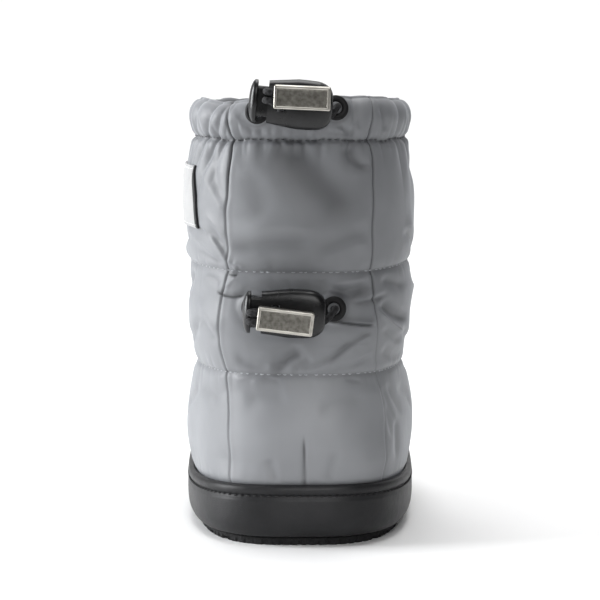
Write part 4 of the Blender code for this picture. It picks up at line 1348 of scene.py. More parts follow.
def shell_columns(count):
    """Angles round the shell from the toe, even along a ring of the heel and closer together at the back."""
    fine = np.linspace(-math.pi, math.pi, 40001)
    steps = np.linalg.norm(np.diff(base_points(fine, EVEN_LEVEL), axis=0), axis=1)
    run = np.concatenate([[0], np.cumsum(steps)])
    run = np.abs(run - run[-1] / 2)
    density = FRONT_DENSITY + (1 - FRONT_DENSITY) * smoothstep((DENSE_RUN - run) / DENSE_FADE)
    density += SEAM_DENSITY * bell(run - SEAM_RUN, SEAM_RUN_HALF)
    share = np.concatenate([[0], np.cumsum(steps * (density[1:] + density[:-1]))])
    return np.interp(np.arange(count) / count, share / share[-1], fine)


def settle(start, cut, sewn):
    """Lets a sheet with spare width swell and crease between its sewn rows, and gives its settled points."""
    rows, columns = start.shape[:2]
    mesh = bpy.data.meshes.new("settling")
    mesh.from_pydata((start.reshape(-1, 3) * SETTLE_SCALE).tolist(), [], grid_faces(rows, columns, True))
    piece = link_object("settling", mesh)
    piece.shape_key_add(name="start")
    pattern = piece.shape_key_add(name="cut")
    pattern.data.foreach_set("co", (cut * SETTLE_SCALE).astype(np.float32).ravel())
    pattern.value = 0.0
    group = piece.vertex_groups.new(name="sewn")
    held = np.arange(rows * columns).reshape(rows, columns)[sewn]
    group.add(held.ravel().tolist(), 1.0, "REPLACE")
    cloth = piece.modifiers.new("cloth", "CLOTH")
    for name, value in CLOTH_SETTINGS.items():
        setattr(cloth.settings, name, value)
    cloth.settings.vertex_group_mass = "sewn"
    cloth.settings.rest_shape_key = pattern
    cloth.settings.effector_weights.gravity = 0.0
    cloth.collision_settings.use_collision = False
    cloth.point_cache.frame_start = 1
    cloth.point_cache.frame_end = SETTLE_FRAMES
    for step in range(1, SETTLE_FRAMES + 1):
        bpy.context.scene.frame_set(step)
    settled = piece.evaluated_get(bpy.context.evaluated_depsgraph_get())
    points = np.zeros(rows * columns * 3, np.float32)
    settled.data.vertices.foreach_get("co", points)
    bpy.data.objects.remove(piece)
    bpy.context.scene.frame_set(1)
    return points.reshape(rows, columns, 3) / SETTLE_SCALE


def smooth(grid, passes):
    """A grid without its short ripples. Columns close round, rows end."""
    for _ in range(passes):
        grid = (np.roll(grid, 1, 1) + 2 * grid + np.roll(grid, -1, 1)) / 4
        padded = np.concatenate([grid[:1], grid, grid[-1:]])
        grid = (padded[:-2] + 2 * grid + padded[2:]) / 4
    return grid


def double(grid):
    """A grid with a point between each two, on smooth curves. Columns close round, rows end."""
    before, after, later = np.roll(grid, 1, 1), np.roll(grid, -1, 1), np.roll(grid, -2, 1)
    halfway = (9 * (grid + after) - before - later) / 16
    wide = np.stack([grid, halfway], axis=2).reshape(grid.shape[0], -1, grid.shape[2])
    padded = np.concatenate([2 * wide[:1] - wide[1:2], wide, 2 * wide[-1:] - wide[-2:-1]])
    halfway = (9 * (padded[1:-2] + padded[2:-1]) - padded[:-3] - padded[3:]) / 16
    full = np.zeros((2 * len(wide) - 1, *wide.shape[1:]))
    full[0::2] = wide
    full[1::2] = halfway
    return full


class Shell:
    """The dressed shell on a grid of rows and columns, which other pieces read to lie on it."""

    def __init__(self):
        self.angles = shell_columns(SHELL_COLUMNS)
        levels, spare = [np.array([HIDDEN_LEVEL])], [np.zeros(1)]
        for band in BANDS:
            ends = section_at([band.low, band.high])[:, 1]
            levels.append(level_at_back(np.linspace(*ends, band.steps + 1)[1:]))
            spare.append(np.full(band.steps, band.spare))
        self.outer = sum(len(part) for part in levels)
        turns = np.linspace(0, math.pi, CROWN_STEPS + 1)[1:]
        turned_in = np.linspace(RIM_ROW, TURN_IN_LEVEL, TURN_IN_STEPS + 1)[1:]
        self.levels = np.concatenate([*levels, np.full(CROWN_STEPS, RIM_ROW), turned_in])
        spare = np.concatenate([*spare, np.full(CROWN_STEPS + TURN_IN_STEPS, BANDS[-1].spare)])
        flat = np.zeros(self.outer)
        within = np.ones(TURN_IN_STEPS)
        outset = np.concatenate([flat, WALL / 2 * (np.cos(turns) - 1), -WALL * within])
        lift = np.concatenate([flat, RIM_CROWN * np.sin(turns), 0 * within])
        over_rim = (1 + TURN_IN_SHARE) / 2 + (1 - TURN_IN_SHARE) / 2 * np.cos(turns)
        share = np.concatenate([flat + 1, over_rim, TURN_IN_SHARE * within])
        inside = np.concatenate([flat, 0 * turns, within])[:, None]
        cloth = Cloth(self.angles[None, :], self.levels[:, None])
        form = (cloth.form - puff_at(cloth.level) * inside) * share[:, None]
        points = cloth.base + cloth.normal * (form + outset[:, None])[..., None]
        rim = smoothstep((cloth.back_z - COLLAR_SEAM) / (COLLAR_TOP - COLLAR_SEAM))
        wave = clouds_along(cloth.run, RIM_CLOUDS)
        sag = RIM_SAG * bell(cloth.run - RIM_SAG_AT, RIM_SAG_HALF)
        points[..., 2] += lift[:, None] + rim * (wave - sag)
        points = self.settle_padding(points, spare)
        self.points = points + cloth.normal * (cloth.detail * share[:, None])[..., None]
        self.run = cloth.run
        # Less painted shade on the turned-in collar
        self.shade = cloth.shade * (1 - TURN_IN_FADE * inside)

    def settle_padding(self, points, spare):
        """Adds the swelling that the cloth finds by itself, with the sewn rows held."""
        coarse = points[::SETTLE_STRIDE, ::SETTLE_STRIDE]
        middle = coarse.mean(axis=1, keepdims=True)
        cut = coarse.copy()
        cut[..., :2] += (coarse - middle)[..., :2] * spare[::SETTLE_STRIDE, None, None]
        cut[..., 2] *= 1 + SPARE_HEIGHT
        rows = self.levels[::SETTLE_STRIDE]
        sewn = np.min([np.abs(rows - row) for row in SEWN_ROWS], axis=0) < 1e-3
        sewn |= rows < RAND_ROW
        sewn[-1] = True
        moved = settle(coarse, cut, sewn) - coarse
        length = np.linalg.norm(moved, axis=-1, keepdims=True)
        moved *= np.minimum(1, SETTLE_CAP / np.maximum(length, 1e-9))
        return points + double(double(smooth(moved, SMOOTH_PASSES)))

    def at(self, angle, level, outset=0.0):
        """Points and normals of the outside at arrays of angles and levels."""
        angle, level = np.broadcast_arrays(np.asarray(angle, float), np.asarray(level, float))
        turn = np.mod(angle + math.pi, 2 * math.pi) - math.pi
        column = np.interp(turn, np.append(self.angles, math.pi), np.arange(SHELL_COLUMNS + 1))
        row = np.interp(level, self.levels[:self.outer], np.arange(self.outer))
        i = np.minimum(row.astype(int), self.outer - 2)
        j = column.astype(int) % SHELL_COLUMNS
        k = (j + 1) % SHELL_COLUMNS
        a, b = (row - i)[..., None], (column - column.astype(int))[..., None]
        low, high = self.points[i, j], self.points[i, k]
        lower = low * (1 - b) + high * b
        upper = self.points[i + 1, j] * (1 - b) + self.points[i + 1, k] * b
        normal = np.cross(high - low, upper - lower)
        normal /= np.linalg.norm(normal, axis=-1, keepdims=True)
        return lower * (1 - a) + upper * a + normal * outset, normal


def make_shell(shell, finish):
    """The dressed cloth: outside, rolled rim and the turned-in collar."""
    piece = grid_piece("shell", to_frame(shell.points), [finish], capped=False)
    run = np.concatenate([shell.run, -shell.run[:, :1]], axis=1)
    up = run_along(shell.points[:, SHELL_COLUMNS // 2])
    set_uv(piece, np.stack([run, up[:, None] + 0 * run], axis=-1) / MAP_UNIT, SHELL_COLUMNS, True)
    # Painted shade of the seams, folds and eyelet edges, which the nylon mixes into its colour
    set_value(piece, "shade", shell.shade)
    declare(piece, "upper")


LINING_ENDS = (COLLAR_SEAM_ROW - 0.02, 0.25)
LINING_GAP = 0.0002
LINING_EDGE = 0.0004
LINING_EDGE_ROWS = 0.15


def make_lining(finish):
    """Fleece inside the shell, from the turned-in collar to the insole."""
    levels = np.linspace(*LINING_ENDS, LINING_ROWS)
    angle, level = np.meshgrid(shell_columns(LINING_COLUMNS), levels)
    base = base_points(angle, level)
    edge = LINING_EDGE * bell(level - levels[0], LINING_EDGE_ROWS)
    outset = edge + clouds(base, PILE_CLOUDS) - WALL - LINING_GAP
    points = base + normals_of(*tangents(angle, level)) * outset[..., None]
    declare(grid_piece("lining", to_frame(points[:, ::-1]), [finish], capped=False))


# Insole from its lower edge to the middle: distance in from the shell's wall, and depth under its top
FOOTBED_PROFILE = ((0, INSOLE_THICK), (0, 0.0010), (0.0003, 0.0003), (0.0010, 0), (0.0040, 0.0001),
                   (0.0100, 0.0003), (0.0180, 0.0005))


def make_footbed(finish):
    """Insole with a soft edge."""
    angles = shell_columns(LINING_COLUMNS)
    rings = [foot_ring(angles, -WALL - CLEAR - inset, FOOT_Z + INSOLE_THICK - depth)
             for inset, depth in FOOTBED_PROFILE]
    piece = turn_out(grid_piece("footbed", to_frame(rings), [finish], smooth_angle=50))
    declare(piece, "insole")


def make_seam_stitches(shell, pale, dark):
    """Stitching of the two quilting seams and of the collar."""
    angles = np.linspace(-math.pi, math.pi, SEAM_POINTS)
    per_level = np.linalg.norm(tangents(angles, COLLAR_SEAM_ROW)[1], axis=-1)
    stray = collar_wander(distance_around(angles, np.full_like(angles, COLLAR_SEAM_ROW))) / per_level
    lower, upper, collar = (shell.at(angles, level, STITCH_LIFT)
                            for level in (LOWER_SEAM_ROW, UPPER_SEAM_ROW, COLLAR_SEAM_ROW + stray))
    declare(stitch_mesh("quilt_stitches", [lower, upper], pale, uneven=1.0))
    declare(stitch_mesh("collar_stitches", [collar], dark, uneven=1.0))


# Rand, outsole and label

STITCH_HEIGHT = RAND_TOP - 0.0032
SWAY_ROW = 1.5
SWAY_FROM = 0.0120
SWAY_FADE = 0.0060
RAND_FOOT_INSET = 0.0006
RAND_STITCH_DROP = 0.0003
RAND_STITCH_INSET = 0.00025
# Outline of the rand from its foot over the top and down inside: height at the back, distance from the shell
RAND_PROFILE = (
    (0.0034, RAND_OUT - 0.0004),
    (0.0042, RAND_OUT - 0.0001),
    (0.0062, RAND_OUT),
    (0.0090, RAND_OUT),
    (0.0120, RAND_OUT),
    (STITCH_HEIGHT - 0.0018, RAND_OUT),
    (STITCH_HEIGHT - 0.0015, RAND_OUT - 0.0001),
    (STITCH_HEIGHT - 0.0012, RAND_OUT - 0.0001),
    (STITCH_HEIGHT - 0.0007, RAND_OUT - 0.0001),
    (STITCH_HEIGHT - 0.0003, RAND_OUT - 0.0003),
    (STITCH_HEIGHT, RAND_OUT - 0.0006),
    (STITCH_HEIGHT + 0.0003, RAND_OUT - 0.0003),
    (STITCH_HEIGHT + 0.0008, RAND_OUT),
    (STITCH_HEIGHT + 0.0018, RAND_OUT + 0.0001),
    (RAND_TOP - 0.0006, RAND_OUT - 0.0001),
    (RAND_TOP - 0.0001, RAND_OUT - 0.0005),
    (RAND_TOP + 0.0001, RAND_OUT - 0.0012),
    (RAND_TOP, CLEAR + 0.0001),
    (RAND_TOP - 0.0030, CLEAR),
    (0.0080, CLEAR),
    (0.0052, CLEAR),
)


def rand_ring(angles, height, outset):
    """A ring of the rand at a height of the back and a distance from the shell."""
    levels = np.linspace(0, RAND_ROW, 200)
    level = float(np.interp(height, section_at(levels)[:, 1], levels))
    level = np.full_like(angles, level)
    normal = normals_of(*tangents(angles, level))
    ring = base_points(angles, level) + normal * np.asarray(outset)[..., None]
    ring[:, 2] += max(0.0, height - RAND_TOP)
    ring[:, 2] = np.maximum(ring[:, 2], FOOT_Z + toe_lift(ring[:, 1]) + CLEAR)
    return ring


def make_rand(finish, thread):
    """Black band around the foot: turned top edge, stitch groove, fine second line, grain."""
    angles = shell_columns(RAND_COLUMNS)
    sway = clouds_along(distance_around(angles, np.full_like(angles, SWAY_ROW)), SWAY_CLOUDS)
    rings = [foot_ring(angles, RAND_OUT - RAND_FOOT_INSET)]
    for height, outset in smooth_path(RAND_PROFILE, RAND_RINGS):
        near_top = smoothstep((height - SWAY_FROM) / SWAY_FADE) * (outset > RAND_THICK / 2)
        rings.append(rand_ring(angles, height, outset + sway * near_top))
    rings.append(foot_ring(angles, CLEAR))
    faces = grid_faces(len(rings), RAND_COLUMNS, True, looped=True)
    declare(turn_out(finish_mesh("rand_band", to_frame(rings), faces, [finish], 50)), "rand")
    angles = np.linspace(-math.pi, math.pi, SEAM_POINTS)
    height = STITCH_HEIGHT - RAND_STITCH_DROP
    line = rand_ring(angles, height, np.full(SEAM_POINTS, RAND_OUT - RAND_STITCH_INSET))
    normal = normals_of(*tangents(angles, level_at_back(height)))
    stitches = stitch_mesh("rand_stitches", [(line, normal)], thread,
                           length=RAND_STITCH_LENGTH, radius=RAND_STITCH_RADIUS)
    declare(stitches)


TOOTH_PITCH = 0.0031
TOOTH_DEPTH = 0.0007


def make_sole(finish):
    """Rubber sole with lugs and a notched lower edge."""
    angles = shell_columns(SOLE_COLUMNS)
    run = distance_around(angles, np.zeros_like(angles))
    phase = run / TOOTH_PITCH + clouds_along(run, TOOTH_CLOUDS)
    notch = smoothstep((np.cos(2 * np.pi * phase) - 0.35) / 0.4) * (0.6 + clouds_along(run, NOTCH_CLOUDS))
    notched = OUTSOLE_OUTSET - TOOTH_DEPTH * notch
    rings = [foot_ring(angles, outset, height) for outset, height in (
        (OUTSOLE_OUTSET - OUTSOLE_CHAMFER - 0.0012, 0.0),
        (notched - OUTSOLE_CHAMFER, 0.0),
        (notched, OUTSOLE_CHAMFER),
        (notched, 0.0010),
        (OUTSOLE_OUTSET, 0.0017),
        (OUTSOLE_OUTSET, OUTSOLE_THICK - 0.0003),
        (OUTSOLE_OUTSET - 0.0003, OUTSOLE_THICK),
    )]
    faces = grid_faces(len(rings), SOLE_COLUMNS, True)
    for start in (0, (len(rings) - 1) * SOLE_COLUMNS):
        for j in range(SOLE_COLUMNS // 2):
            rung = [j, j + 1, SOLE_COLUMNS - j - 1, (SOLE_COLUMNS - j) % SOLE_COLUMNS]
            faces.append([start + corner for corner in dict.fromkeys(rung)])
    piece = turn_out(finish_mesh("sole", to_frame(rings), faces, [finish]))
    size = (BALL_WIDTH, GROOVE_WIDTH, 2 * LUG_DEPTH)
    middles = [k * GROOVE_PITCH + GROOVE_PITCH / 2 for k in range(1, int(SOLE_LENGTH / GROOVE_PITCH) - 1)]
    cut_boxes(piece, [(Matrix.Translation((0, y - MIDDLE_Y, float(toe_lift(y)))), size) for y in middles], 35)
    size = (GROOVE_WIDTH, LONG_GROOVE_ENDS[1] - LONG_GROOVE_ENDS[0], 2 * LUG_DEPTH)
    middle = sum(LONG_GROOVE_ENDS) / 2 - MIDDLE_Y
    cut_boxes(piece, [(Matrix.Translation((x, middle, 0)), size) for x in LONG_GROOVES_X], 35)
    declare(piece, "outsole")


def make_label(shell, white, black, thread):
    """Woven patch on the outer side, bare, with a black line along its rear edge, sewn round its border."""
    search = np.linspace(0, math.pi, 800)
    levels, angles = [], []
    for share in np.linspace(0, 1, LABEL_ROWS):
        level = float(level_at_back(LABEL_Z[0] + share * (LABEL_Z[1] - LABEL_Z[0])))
        side = base_points(-search, level) + normals_of(*tangents(-search, level)) * puff_at(level)
        ends = np.array(LABEL_Y) - LABEL_LEAN * (1 - share)
        angles.append(-np.linspace(*np.interp(ends, side[:, 1], search), LABEL_COLUMNS))
        levels.append(np.full(LABEL_COLUMNS, level))
    cloth, normal = shell.at(angles, levels)
    edge = np.ones((LABEL_ROWS, LABEL_COLUMNS))
    edge[1:-1, 1:-1] = 0
    outer = cloth + normal * (CLEAR + LABEL_THICK - LABEL_EDGE_DROP * edge)[..., None]
    inner = cloth + normal * LABEL_GAP
    count = LABEL_ROWS * LABEL_COLUMNS
    index = np.arange(count).reshape(LABEL_ROWS, LABEL_COLUMNS)
    faces = grid_faces(LABEL_ROWS, LABEL_COLUMNS, False)
    faces += [quad[::-1] for quad in grid_faces(LABEL_ROWS, LABEL_COLUMNS, False, count)]
    border = np.concatenate([index[0], index[1:, -1], index[-1, -2::-1], index[-2:0:-1, 0]]).tolist()
    faces += [[a, b, b + count, a + count] for a, b in zip(border, border[1:] + border[:1])]
    piece = turn_out(finish_mesh("label", to_frame([outer, inner]), faces, [white, black], 60))
    flat = np.stack(np.meshgrid(np.linspace(0, LABEL_Y[1] - LABEL_Y[0], LABEL_COLUMNS),
                                np.linspace(0, LABEL_Z[1] - LABEL_Z[0], LABEL_ROWS)), axis=-1)
    set_uv(piece, np.concatenate([flat, flat]) / MAP_UNIT, LABEL_COLUMNS, False)
    for face in piece.data.polygons:
        if max(v % LABEL_COLUMNS for v in face.vertices) <= LABEL_STRIPE_COLUMNS:
            face.material_index = 1
    declare(piece, "side_label")
    sewn = (np.s_[2], np.s_[LABEL_ROWS - 3], np.s_[:, LABEL_COLUMNS - 3])
    lines = [(outer[part], normal[part]) for part in sewn]
    stitches = stitch_mesh("label_stitches", lines, thread, LABEL_STITCH_PITCH, LABEL_STITCH_LENGTH,
                           LABEL_STITCH_RADIUS)
    declare(stitches)


# Eyelets, locks, clips and cords

def carry(points, matrix):
    """Points moved by a matrix."""
    points = np.asarray(points)
    return points @ np.array(matrix.to_3x3()).T + np.array(matrix.translation)


def make_eyelet(lock, side, finish):
    """Pressed black ring on the cloth."""
    point, normal = back_place(*getattr(lock, f"{side}_eyelet"))
    around = np.linspace(0, 2 * math.pi, EYELET_COLUMNS, endpoint=False)
    over = np.linspace(0, 2 * math.pi, EYELET_ROWS, endpoint=False)[:, None]
    reach = EYELET_RING + EYELET_EDGE * np.cos(over)
    height = EYELET_EDGE * EYELET_FLATNESS * np.sin(over)
    rings = np.stack([reach * np.cos(around), reach * np.sin(around), height + 0 * around], axis=-1)
    place = Matrix.Translation(point + normal * (EYELET_EDGE * EYELET_FLATNESS + CLEAR))
    place = place @ normal.to_track_quat("Z", "Y").to_matrix().to_4x4()
    faces = grid_faces(EYELET_ROWS, EYELET_COLUMNS, True, looped=True)
    piece = finish_mesh(f"{lock.name}_eyelet_{side}_ring", to_frame(carry(rings, place)), faces, [finish])
    declare(turn_out(piece), f"{lock.name}_eyelet_{side}")


def lock_matrix(lock):
    """Place and turn of a lock in the frame."""
    return (Matrix.Translation((lock.x, LOCK_CENTRE_Y - MIDDLE_Y, lock.z))
            @ Matrix.Rotation(math.radians(lock.roll), 4, "Y"))


def lock_ring(x, half_height, half_depth, power):
    """A superellipse across a lock, at a place along it."""
    turn = np.linspace(0, 2 * math.pi, LOCK_COLUMNS, endpoint=False)
    y = half_depth * np.sign(np.cos(turn)) * np.abs(np.cos(turn)) ** (2 / power)
    z = half_height * np.sign(np.sin(turn)) * np.abs(np.sin(turn)) ** (2 / power)
    return np.column_stack([np.full(LOCK_COLUMNS, x), y, z])


# Rings of the barrel from its mouth to its tip: place along it, half height, half depth and power
BARREL = (
    (LOCK_MOUTH, 0.0070, 0.0034, LOCK_POWER),
    (LOCK_MOUTH + 0.0002, 0.0075, 0.0037, LOCK_POWER),
    (LOCK_MOUTH + 0.0008, 0.0078, LOCK_DEPTH / 2, LOCK_POWER),
    (LOCK_MOUTH + 0.0018, 0.0078, LOCK_DEPTH / 2, LOCK_POWER),
    (LOCK_MOUTH + 0.0023, 0.0076, 0.0038, LOCK_POWER),
    (-0.0030, 0.0081, LOCK_DEPTH / 2, LOCK_POWER),
    (0.0030, 0.0081, LOCK_DEPTH / 2, LOCK_POWER),
    (0.0066, 0.0077, 0.0038, 2.6),
    (0.0090, 0.0064, 0.0035, 2.4),
    (0.0102, 0.0046, 0.0029, 2.2),
    (LOCK_LENGTH / 2 - 0.0001, 0.0020, 0.0014, 2.0),
    (LOCK_LENGTH / 2, 0.0004, 0.0003, 2.0),
)
BARREL_RINGS = 56
BORE_POWER = 8
LOCK_SHARP = 42


def make_barrel(lock, finish):
    """Moulded barrel with a lip at its mouth, a bore for the stem and a slot for the cords."""
    bore = (STEM_HEIGHT / 2 + CLEAR, STEM_DEPTH / 2 + CLEAR)
    rings = [
        lock_ring(LOCK_MOUTH + BORE_REACH, *bore, BORE_POWER),
        lock_ring(LOCK_MOUTH + 0.0004, *bore, BORE_POWER),
        lock_ring(LOCK_MOUTH, bore[0] + 0.0003, bore[1] + 0.0003, BORE_POWER),
    ]
    rings += [lock_ring(*row) for row in smooth_path(BARREL, BARREL_RINGS)]
    piece = turn_out(grid_piece(f"{lock.name}_barrel", carry(rings, lock_matrix(lock)), [finish]))
    place = lock_matrix(lock) @ Matrix.Translation((SLOT_X, 0, 0))
    cut_boxes(piece, [(place, (SLOT_WIDTH, 2 * LOCK_DEPTH, SLOT_HEIGHT))], LOCK_SHARP)
    declare(piece, f"{lock.name}_lock_body")


# Rings of the domed button from its outer face inwards: place along it and share of its full size
BUTTON = (
    (0.00000, 0.02),
    (0.00004, 0.22),
    (0.00018, 0.45),
    (0.00046, 0.66),
    (0.00088, 0.83),
    (0.00136, 0.94),
    (0.00180, 0.99),
    (0.00215, 1.0),
    (0.00250, 0.985),
    (0.00270, 0.93),
    (BUTTON_THICK, 0.84),
)
BUTTON_RINGS = 40
STEM_POWER = 7


def make_plunger(lock, finish):
    """Oval domed thumb button on its flat stem, with a window for the cords."""
    outer = LOCK_MOUTH - BUTTON_GAP - BUTTON_THICK
    rings = [lock_ring(outer + x, share * BUTTON_HEIGHT / 2, share * BUTTON_DEPTH / 2, 2.0)
             for x, share in smooth_path(BUTTON, BUTTON_RINGS)]
    stem_end = LOCK_MOUTH + STEM_REACH
    for x, trim in ((outer + BUTTON_THICK, 0.0), (stem_end - 0.0006, 0.0), (stem_end, 0.0006)):
        rings.append(lock_ring(x, STEM_HEIGHT / 2 - trim, STEM_DEPTH / 2 - trim, STEM_POWER))
    piece = turn_out(grid_piece(f"{lock.name}_button", carry(rings, lock_matrix(lock)), [finish]))
    place = lock_matrix(lock) @ Matrix.Translation((SLOT_X - PRESS / 2, 0, 0))
    cut_boxes(piece, [(place, (SLOT_WIDTH + PRESS, 2 * LOCK_DEPTH, SLOT_HEIGHT))], LOCK_SHARP)
    declare(piece, f"{lock.name}_lock_plunger", f"{lock.name}_plunger")


CLIP_FRONT = -CLIP_THICK / 2
# Rings of a clip from its back to the middle of its face: inset, depth, and whether it is the sunk panel's
CLIP_RINGS = (
    (0.00055, CLIP_THICK / 2, 0),
    (0.00016, CLIP_THICK / 2 - 0.00014, 0),
    (0.00000, CLIP_THICK / 2 - 0.00055, 0),
    (0.00000, CLIP_FRONT + 0.00060, 0),
    (0.00006, CLIP_FRONT + 0.00030, 0),
    (0.00022, CLIP_FRONT + 0.00008, 0),
    (0.00048, CLIP_FRONT, 0),
    (0.00082, CLIP_FRONT + 0.00002, 0),
    (0.00104, CLIP_FRONT + 0.00012, 0),
    (0.00122, CLIP_FRONT + 0.00034, 1),
    (0.00138, CLIP_FRONT + 0.00042, 1),
    (0.00190, CLIP_FRONT + 0.00040, 1),
)
CLIP_CORNER = 0.0007
CORNER_POINTS = 7


def rounded_rectangle(half_length, half_height, corner):
    """Points of a rectangle with round corners."""
    points = []
    for k, (sx, sz) in enumerate(((1, 1), (-1, 1), (-1, -1), (1, -1))):
        for t in np.linspace(0, math.pi / 2, CORNER_POINTS):
            a = k * math.pi / 2 + t
            points.append((sx * (half_length - corner) + corner * math.cos(a),
                           sz * (half_height - corner) + corner * math.sin(a)))
    return np.array(points)


def clip_matrix(lock):
    """Place and turn of a clip's end in the frame."""
    return (lock_matrix(lock) @ Matrix.Translation((lock.clip_x, CLIP_Y, lock.clip_z))
            @ Matrix.Rotation(math.radians(lock.clip_roll), 4, "Y"))


def make_clip(lock, rim, panel):
    """Metal clip: rounded case, raised bright frame, sunk dark face, socket for the cord ends."""
    rings, slots = [], []
    for inset, y, in_panel in CLIP_RINGS:
        corner = max(CLIP_CORNER - inset, 0.0001)
        flat = rounded_rectangle(CLIP_LENGTH / 2 - inset, CLIP_HEIGHT / 2 - inset, corner)
        rings.append(np.column_stack([flat[:, 0] + CLIP_LENGTH / 2, np.full(len(flat), y), flat[:, 1]]))
        slots += [in_panel] * len(flat)
    piece = grid_piece(f"{lock.name}_clip", carry(rings, clip_matrix(lock)), [rim, panel])
    for face in piece.data.polygons:
        face.material_index = max(slots[v] for v in face.vertices)
    turn_out(piece)
    socket = (2 * CLIP_SOCKET, CLIP_MOUTH, STRAND_APART + CLIP_MOUTH)
    cut_boxes(piece, [(clip_matrix(lock), socket)], 50)
    declare(piece, f"{lock.name}_cord_clip")


def strand_route(lock, side):
    """Route of one strand in the lock's frame: out of its eyelet, through the slot, round into the clip."""
    outward = 1 if side == "right" else -1
    height = -outward * STRAND_APART / 2
    point, normal = back_place(*getattr(lock, f"{side}_eyelet"))
    from_heel = Matrix.Translation((0, MIDDLE_Y, 0)) @ lock_matrix(lock)
    start = [tuple(from_heel.inverted() @ (point + normal * reach)) for reach in EYELET_REACHES]
    back_run = [(run.x, BEHIND_LOCK + run.further_behind, run.z) for run in BACK_RUNS[side]]
    through = [
        (SLOT_X + outward * SLOT_LEAD, BEHIND_LOCK - CLEAR, height),
        (SLOT_X, LOCK_DEPTH / 4, height),
        (SLOT_X, -LOCK_DEPTH / 2, height),
        (SLOT_X - LOOP_LEAD, LOOP_RUN_Y + CLEAR, height + RISE_AT_LEAD * lock.clip_z),
        (lock.clip_x, LOOP_RUN_Y, height + RISE_AT_LOOP * lock.clip_z),
    ]
    height += lock.clip_z
    loop_x = lock.clip_x - CLIP_PAST_LOOP
    loop_y = LOOP_RUN_Y - LOOP_RADIUS
    for turn in LOOP_TURNS:
        angle = math.radians(turn)
        x = loop_x + LOOP_RADIUS * math.cos(angle)
        y = loop_y + LOOP_RADIUS * math.sin(angle)
        through.append((x, y, height))
    into_clip = [
        (lock.clip_x - CLIP_PAST_LOOP / 2, CLIP_Y, height),
        (lock.clip_x + CLIP_SOCKET - 2 * CLEAR, CLIP_Y, height),
    ]
    return start + back_run + through + into_clip


def make_cord(lock, side, finish):
    """One strand of a drawcord."""
    path = carry(smooth_path(strand_route(lock, side), CORD_POINTS), lock_matrix(lock))
    piece = tube(f"{lock.name}_strand_{side}", path, CORD_RADIUS, CORD_SIDES, finish)
    declare(piece, f"{lock.name}_cord_{side}")


# Stage, light and camera

FLOOR_BEND = 0.6
FLOOR_HALF = 3.0
FLOOR_FRONT = -3.0
FLOOR_BACK = 2.2
FLOOR_TOP = 3.0


def make_floor():
    """White floor that runs up into a white backdrop."""
    finish = Finish("studio_white", (0.93, 0.93, 0.93), 0.9, Specular_IOR_Level=0.1)
    finish.spots((3.0,), (0.925, 0.925, 0.925), (0.935, 0.935, 0.935), 0.0, 1.0)
    profile = [(FLOOR_FRONT, 0.0)]
    for turn in np.linspace(-math.pi / 2, 0, 24):
        profile.append((FLOOR_BACK - FLOOR_BEND * (1 - math.cos(turn)), FLOOR_BEND * (1 + math.sin(turn))))
    profile.append((FLOOR_BACK, FLOOR_TOP))
    points = [(x, y, z) for y, z in profile for x in (-FLOOR_HALF, FLOOR_HALF)]
    piece = finish_mesh("floor", points, grid_faces(len(profile), 2, False), [finish.material])


def make_light(kind, name, place, target, power, **settings):
    """A light at a place, turned to a point."""
    light = bpy.data.lights.new(name, kind)
    light.energy = power
    for key, value in settings.items():
        setattr(light, key, value)
    holder = link_object(name, light)
    holder.location = place
    holder.rotation_euler = (Vector(target) - Vector(place)).to_track_quat("-Z", "Y").to_euler()


def soft_box(name, place, target, size, power, colour=(1, 1, 1)):
    """A rectangular soft box that looks at a point."""
    make_light("AREA", name, place, target, power,
               shape="RECTANGLE", size=size[0], size_y=size[1], color=colour)


LIT_MIDDLE = (0.0, 0.0, 0.07)
LIT_HEEL = (-0.004, -MIDDLE_Y, 0.032)


def make_lights():
    """Soft boxes on the left, behind, above and for the backdrop, a spot on the heel and a dim world."""
    soft_box("key", (-1.10, -0.03, 0.38), LIT_MIDDLE, (0.6, 0.7), 20.5, (0.97, 0.985, 1.0))
    soft_box("fill", (0.28, -1.00, 0.80), LIT_MIDDLE, (0.7, 0.5), 4.0)
    make_light("SPOT", "heel", (0.16, -0.95, 0.30), LIT_HEEL, 17.0,
               spot_size=math.radians(4.8), spot_blend=1.0, shadow_soft_size=0.02)
    soft_box("top", (0.0, 0.10, 1.25), LIT_MIDDLE, (0.8, 0.8), 11.0)
    soft_box("backdrop", (0.0, 1.0, 1.8), (0.0, 2.2, 0.4), (3.0, 1.0), 34.0)
    world = bpy.data.worlds.new("studio")
    bpy.context.scene.world = world
    world.use_nodes = True
    background = world.node_tree.nodes["Background"]
    background.inputs["Color"].default_value = (1, 1, 1, 1)
    background.inputs["Strength"].default_value = 0.02


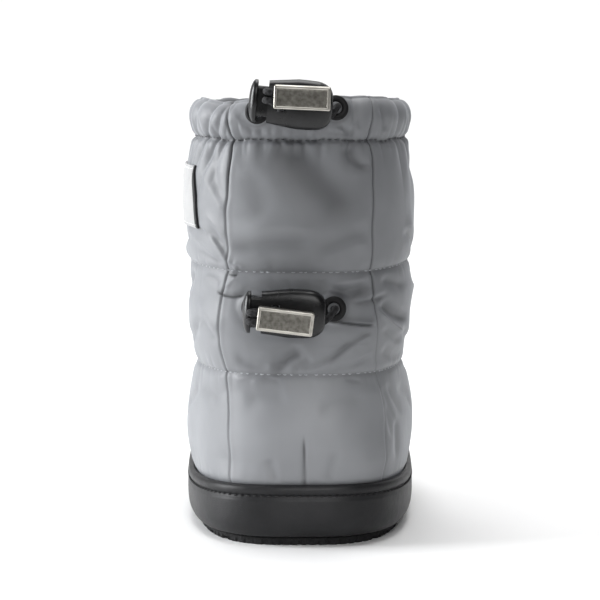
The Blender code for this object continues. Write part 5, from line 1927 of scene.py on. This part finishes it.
CAMERA_BEHIND = 0.90
CAMERA_HEIGHT = 0.188
CAMERA_PITCH = 6.65
CAMERA_LENS = 165.0
CAMERA_SENSOR = 36.0


def make_camera():
    """Camera behind the heel, at the photograph's angle."""
    data = bpy.data.cameras.new("camera")
    data.lens = CAMERA_LENS
    data.sensor_width = CAMERA_SENSOR
    data.clip_start = 0.01
    holder = link_object("camera", data)
    holder.location = (0.0, -CAMERA_BEHIND - MIDDLE_Y, CAMERA_HEIGHT)
    holder.rotation_euler = (math.radians(90 - CAMERA_PITCH), 0.0, 0.0)
    bpy.context.scene.camera = holder
    bpy.context.scene.view_settings.view_transform = "Standard"


def make_locks():
    """The two cord locks, each with its clip, eyelets and strands."""
    plastic, enamel, braid = plastic_finish(), enamel_finish(), cord_finish()
    rim, panel = rim_finish(), panel_finish()
    for lock in LOCKS:
        make_barrel(lock, plastic)
        make_plunger(lock, plastic)
        make_clip(lock, rim, panel)
        for side in ("left", "right"):
            make_eyelet(lock, side, enamel)
            make_cord(lock, side, braid)


def main():
    """Dresses the bootie."""
    pale_thread = thread_finish("quilt_thread", (0.23, 0.24, 0.25), (0.40, 0.41, 0.43))
    dark_thread = thread_finish("dark_thread", (0.005, 0.005, 0.006), (0.010, 0.010, 0.011), 0.8, 0.0)
    collar_thread = thread_finish("collar_thread", (0.03, 0.03, 0.033), (0.07, 0.07, 0.075))
    white_thread = thread_finish("label_thread", (0.6, 0.6, 0.6), (0.8, 0.8, 0.8))
    label_white = woven_finish("label_white", (0.34, 0.34, 0.34), (0.50, 0.50, 0.50))
    label_black = woven_finish("label_black", (0.006, 0.006, 0.007), (0.02, 0.02, 0.022))
    shell = Shell()
    make_shell(shell, nylon_finish())
    make_lining(lining_finish())
    make_footbed(insole_finish())
    make_seam_stitches(shell, pale_thread, collar_thread)
    make_rand(leather_finish(), dark_thread)
    make_sole(rubber_finish())
    make_label(shell, label_white, label_black, white_thread)
    make_locks()
    make_floor()
    make_lights()
    make_camera()


main()
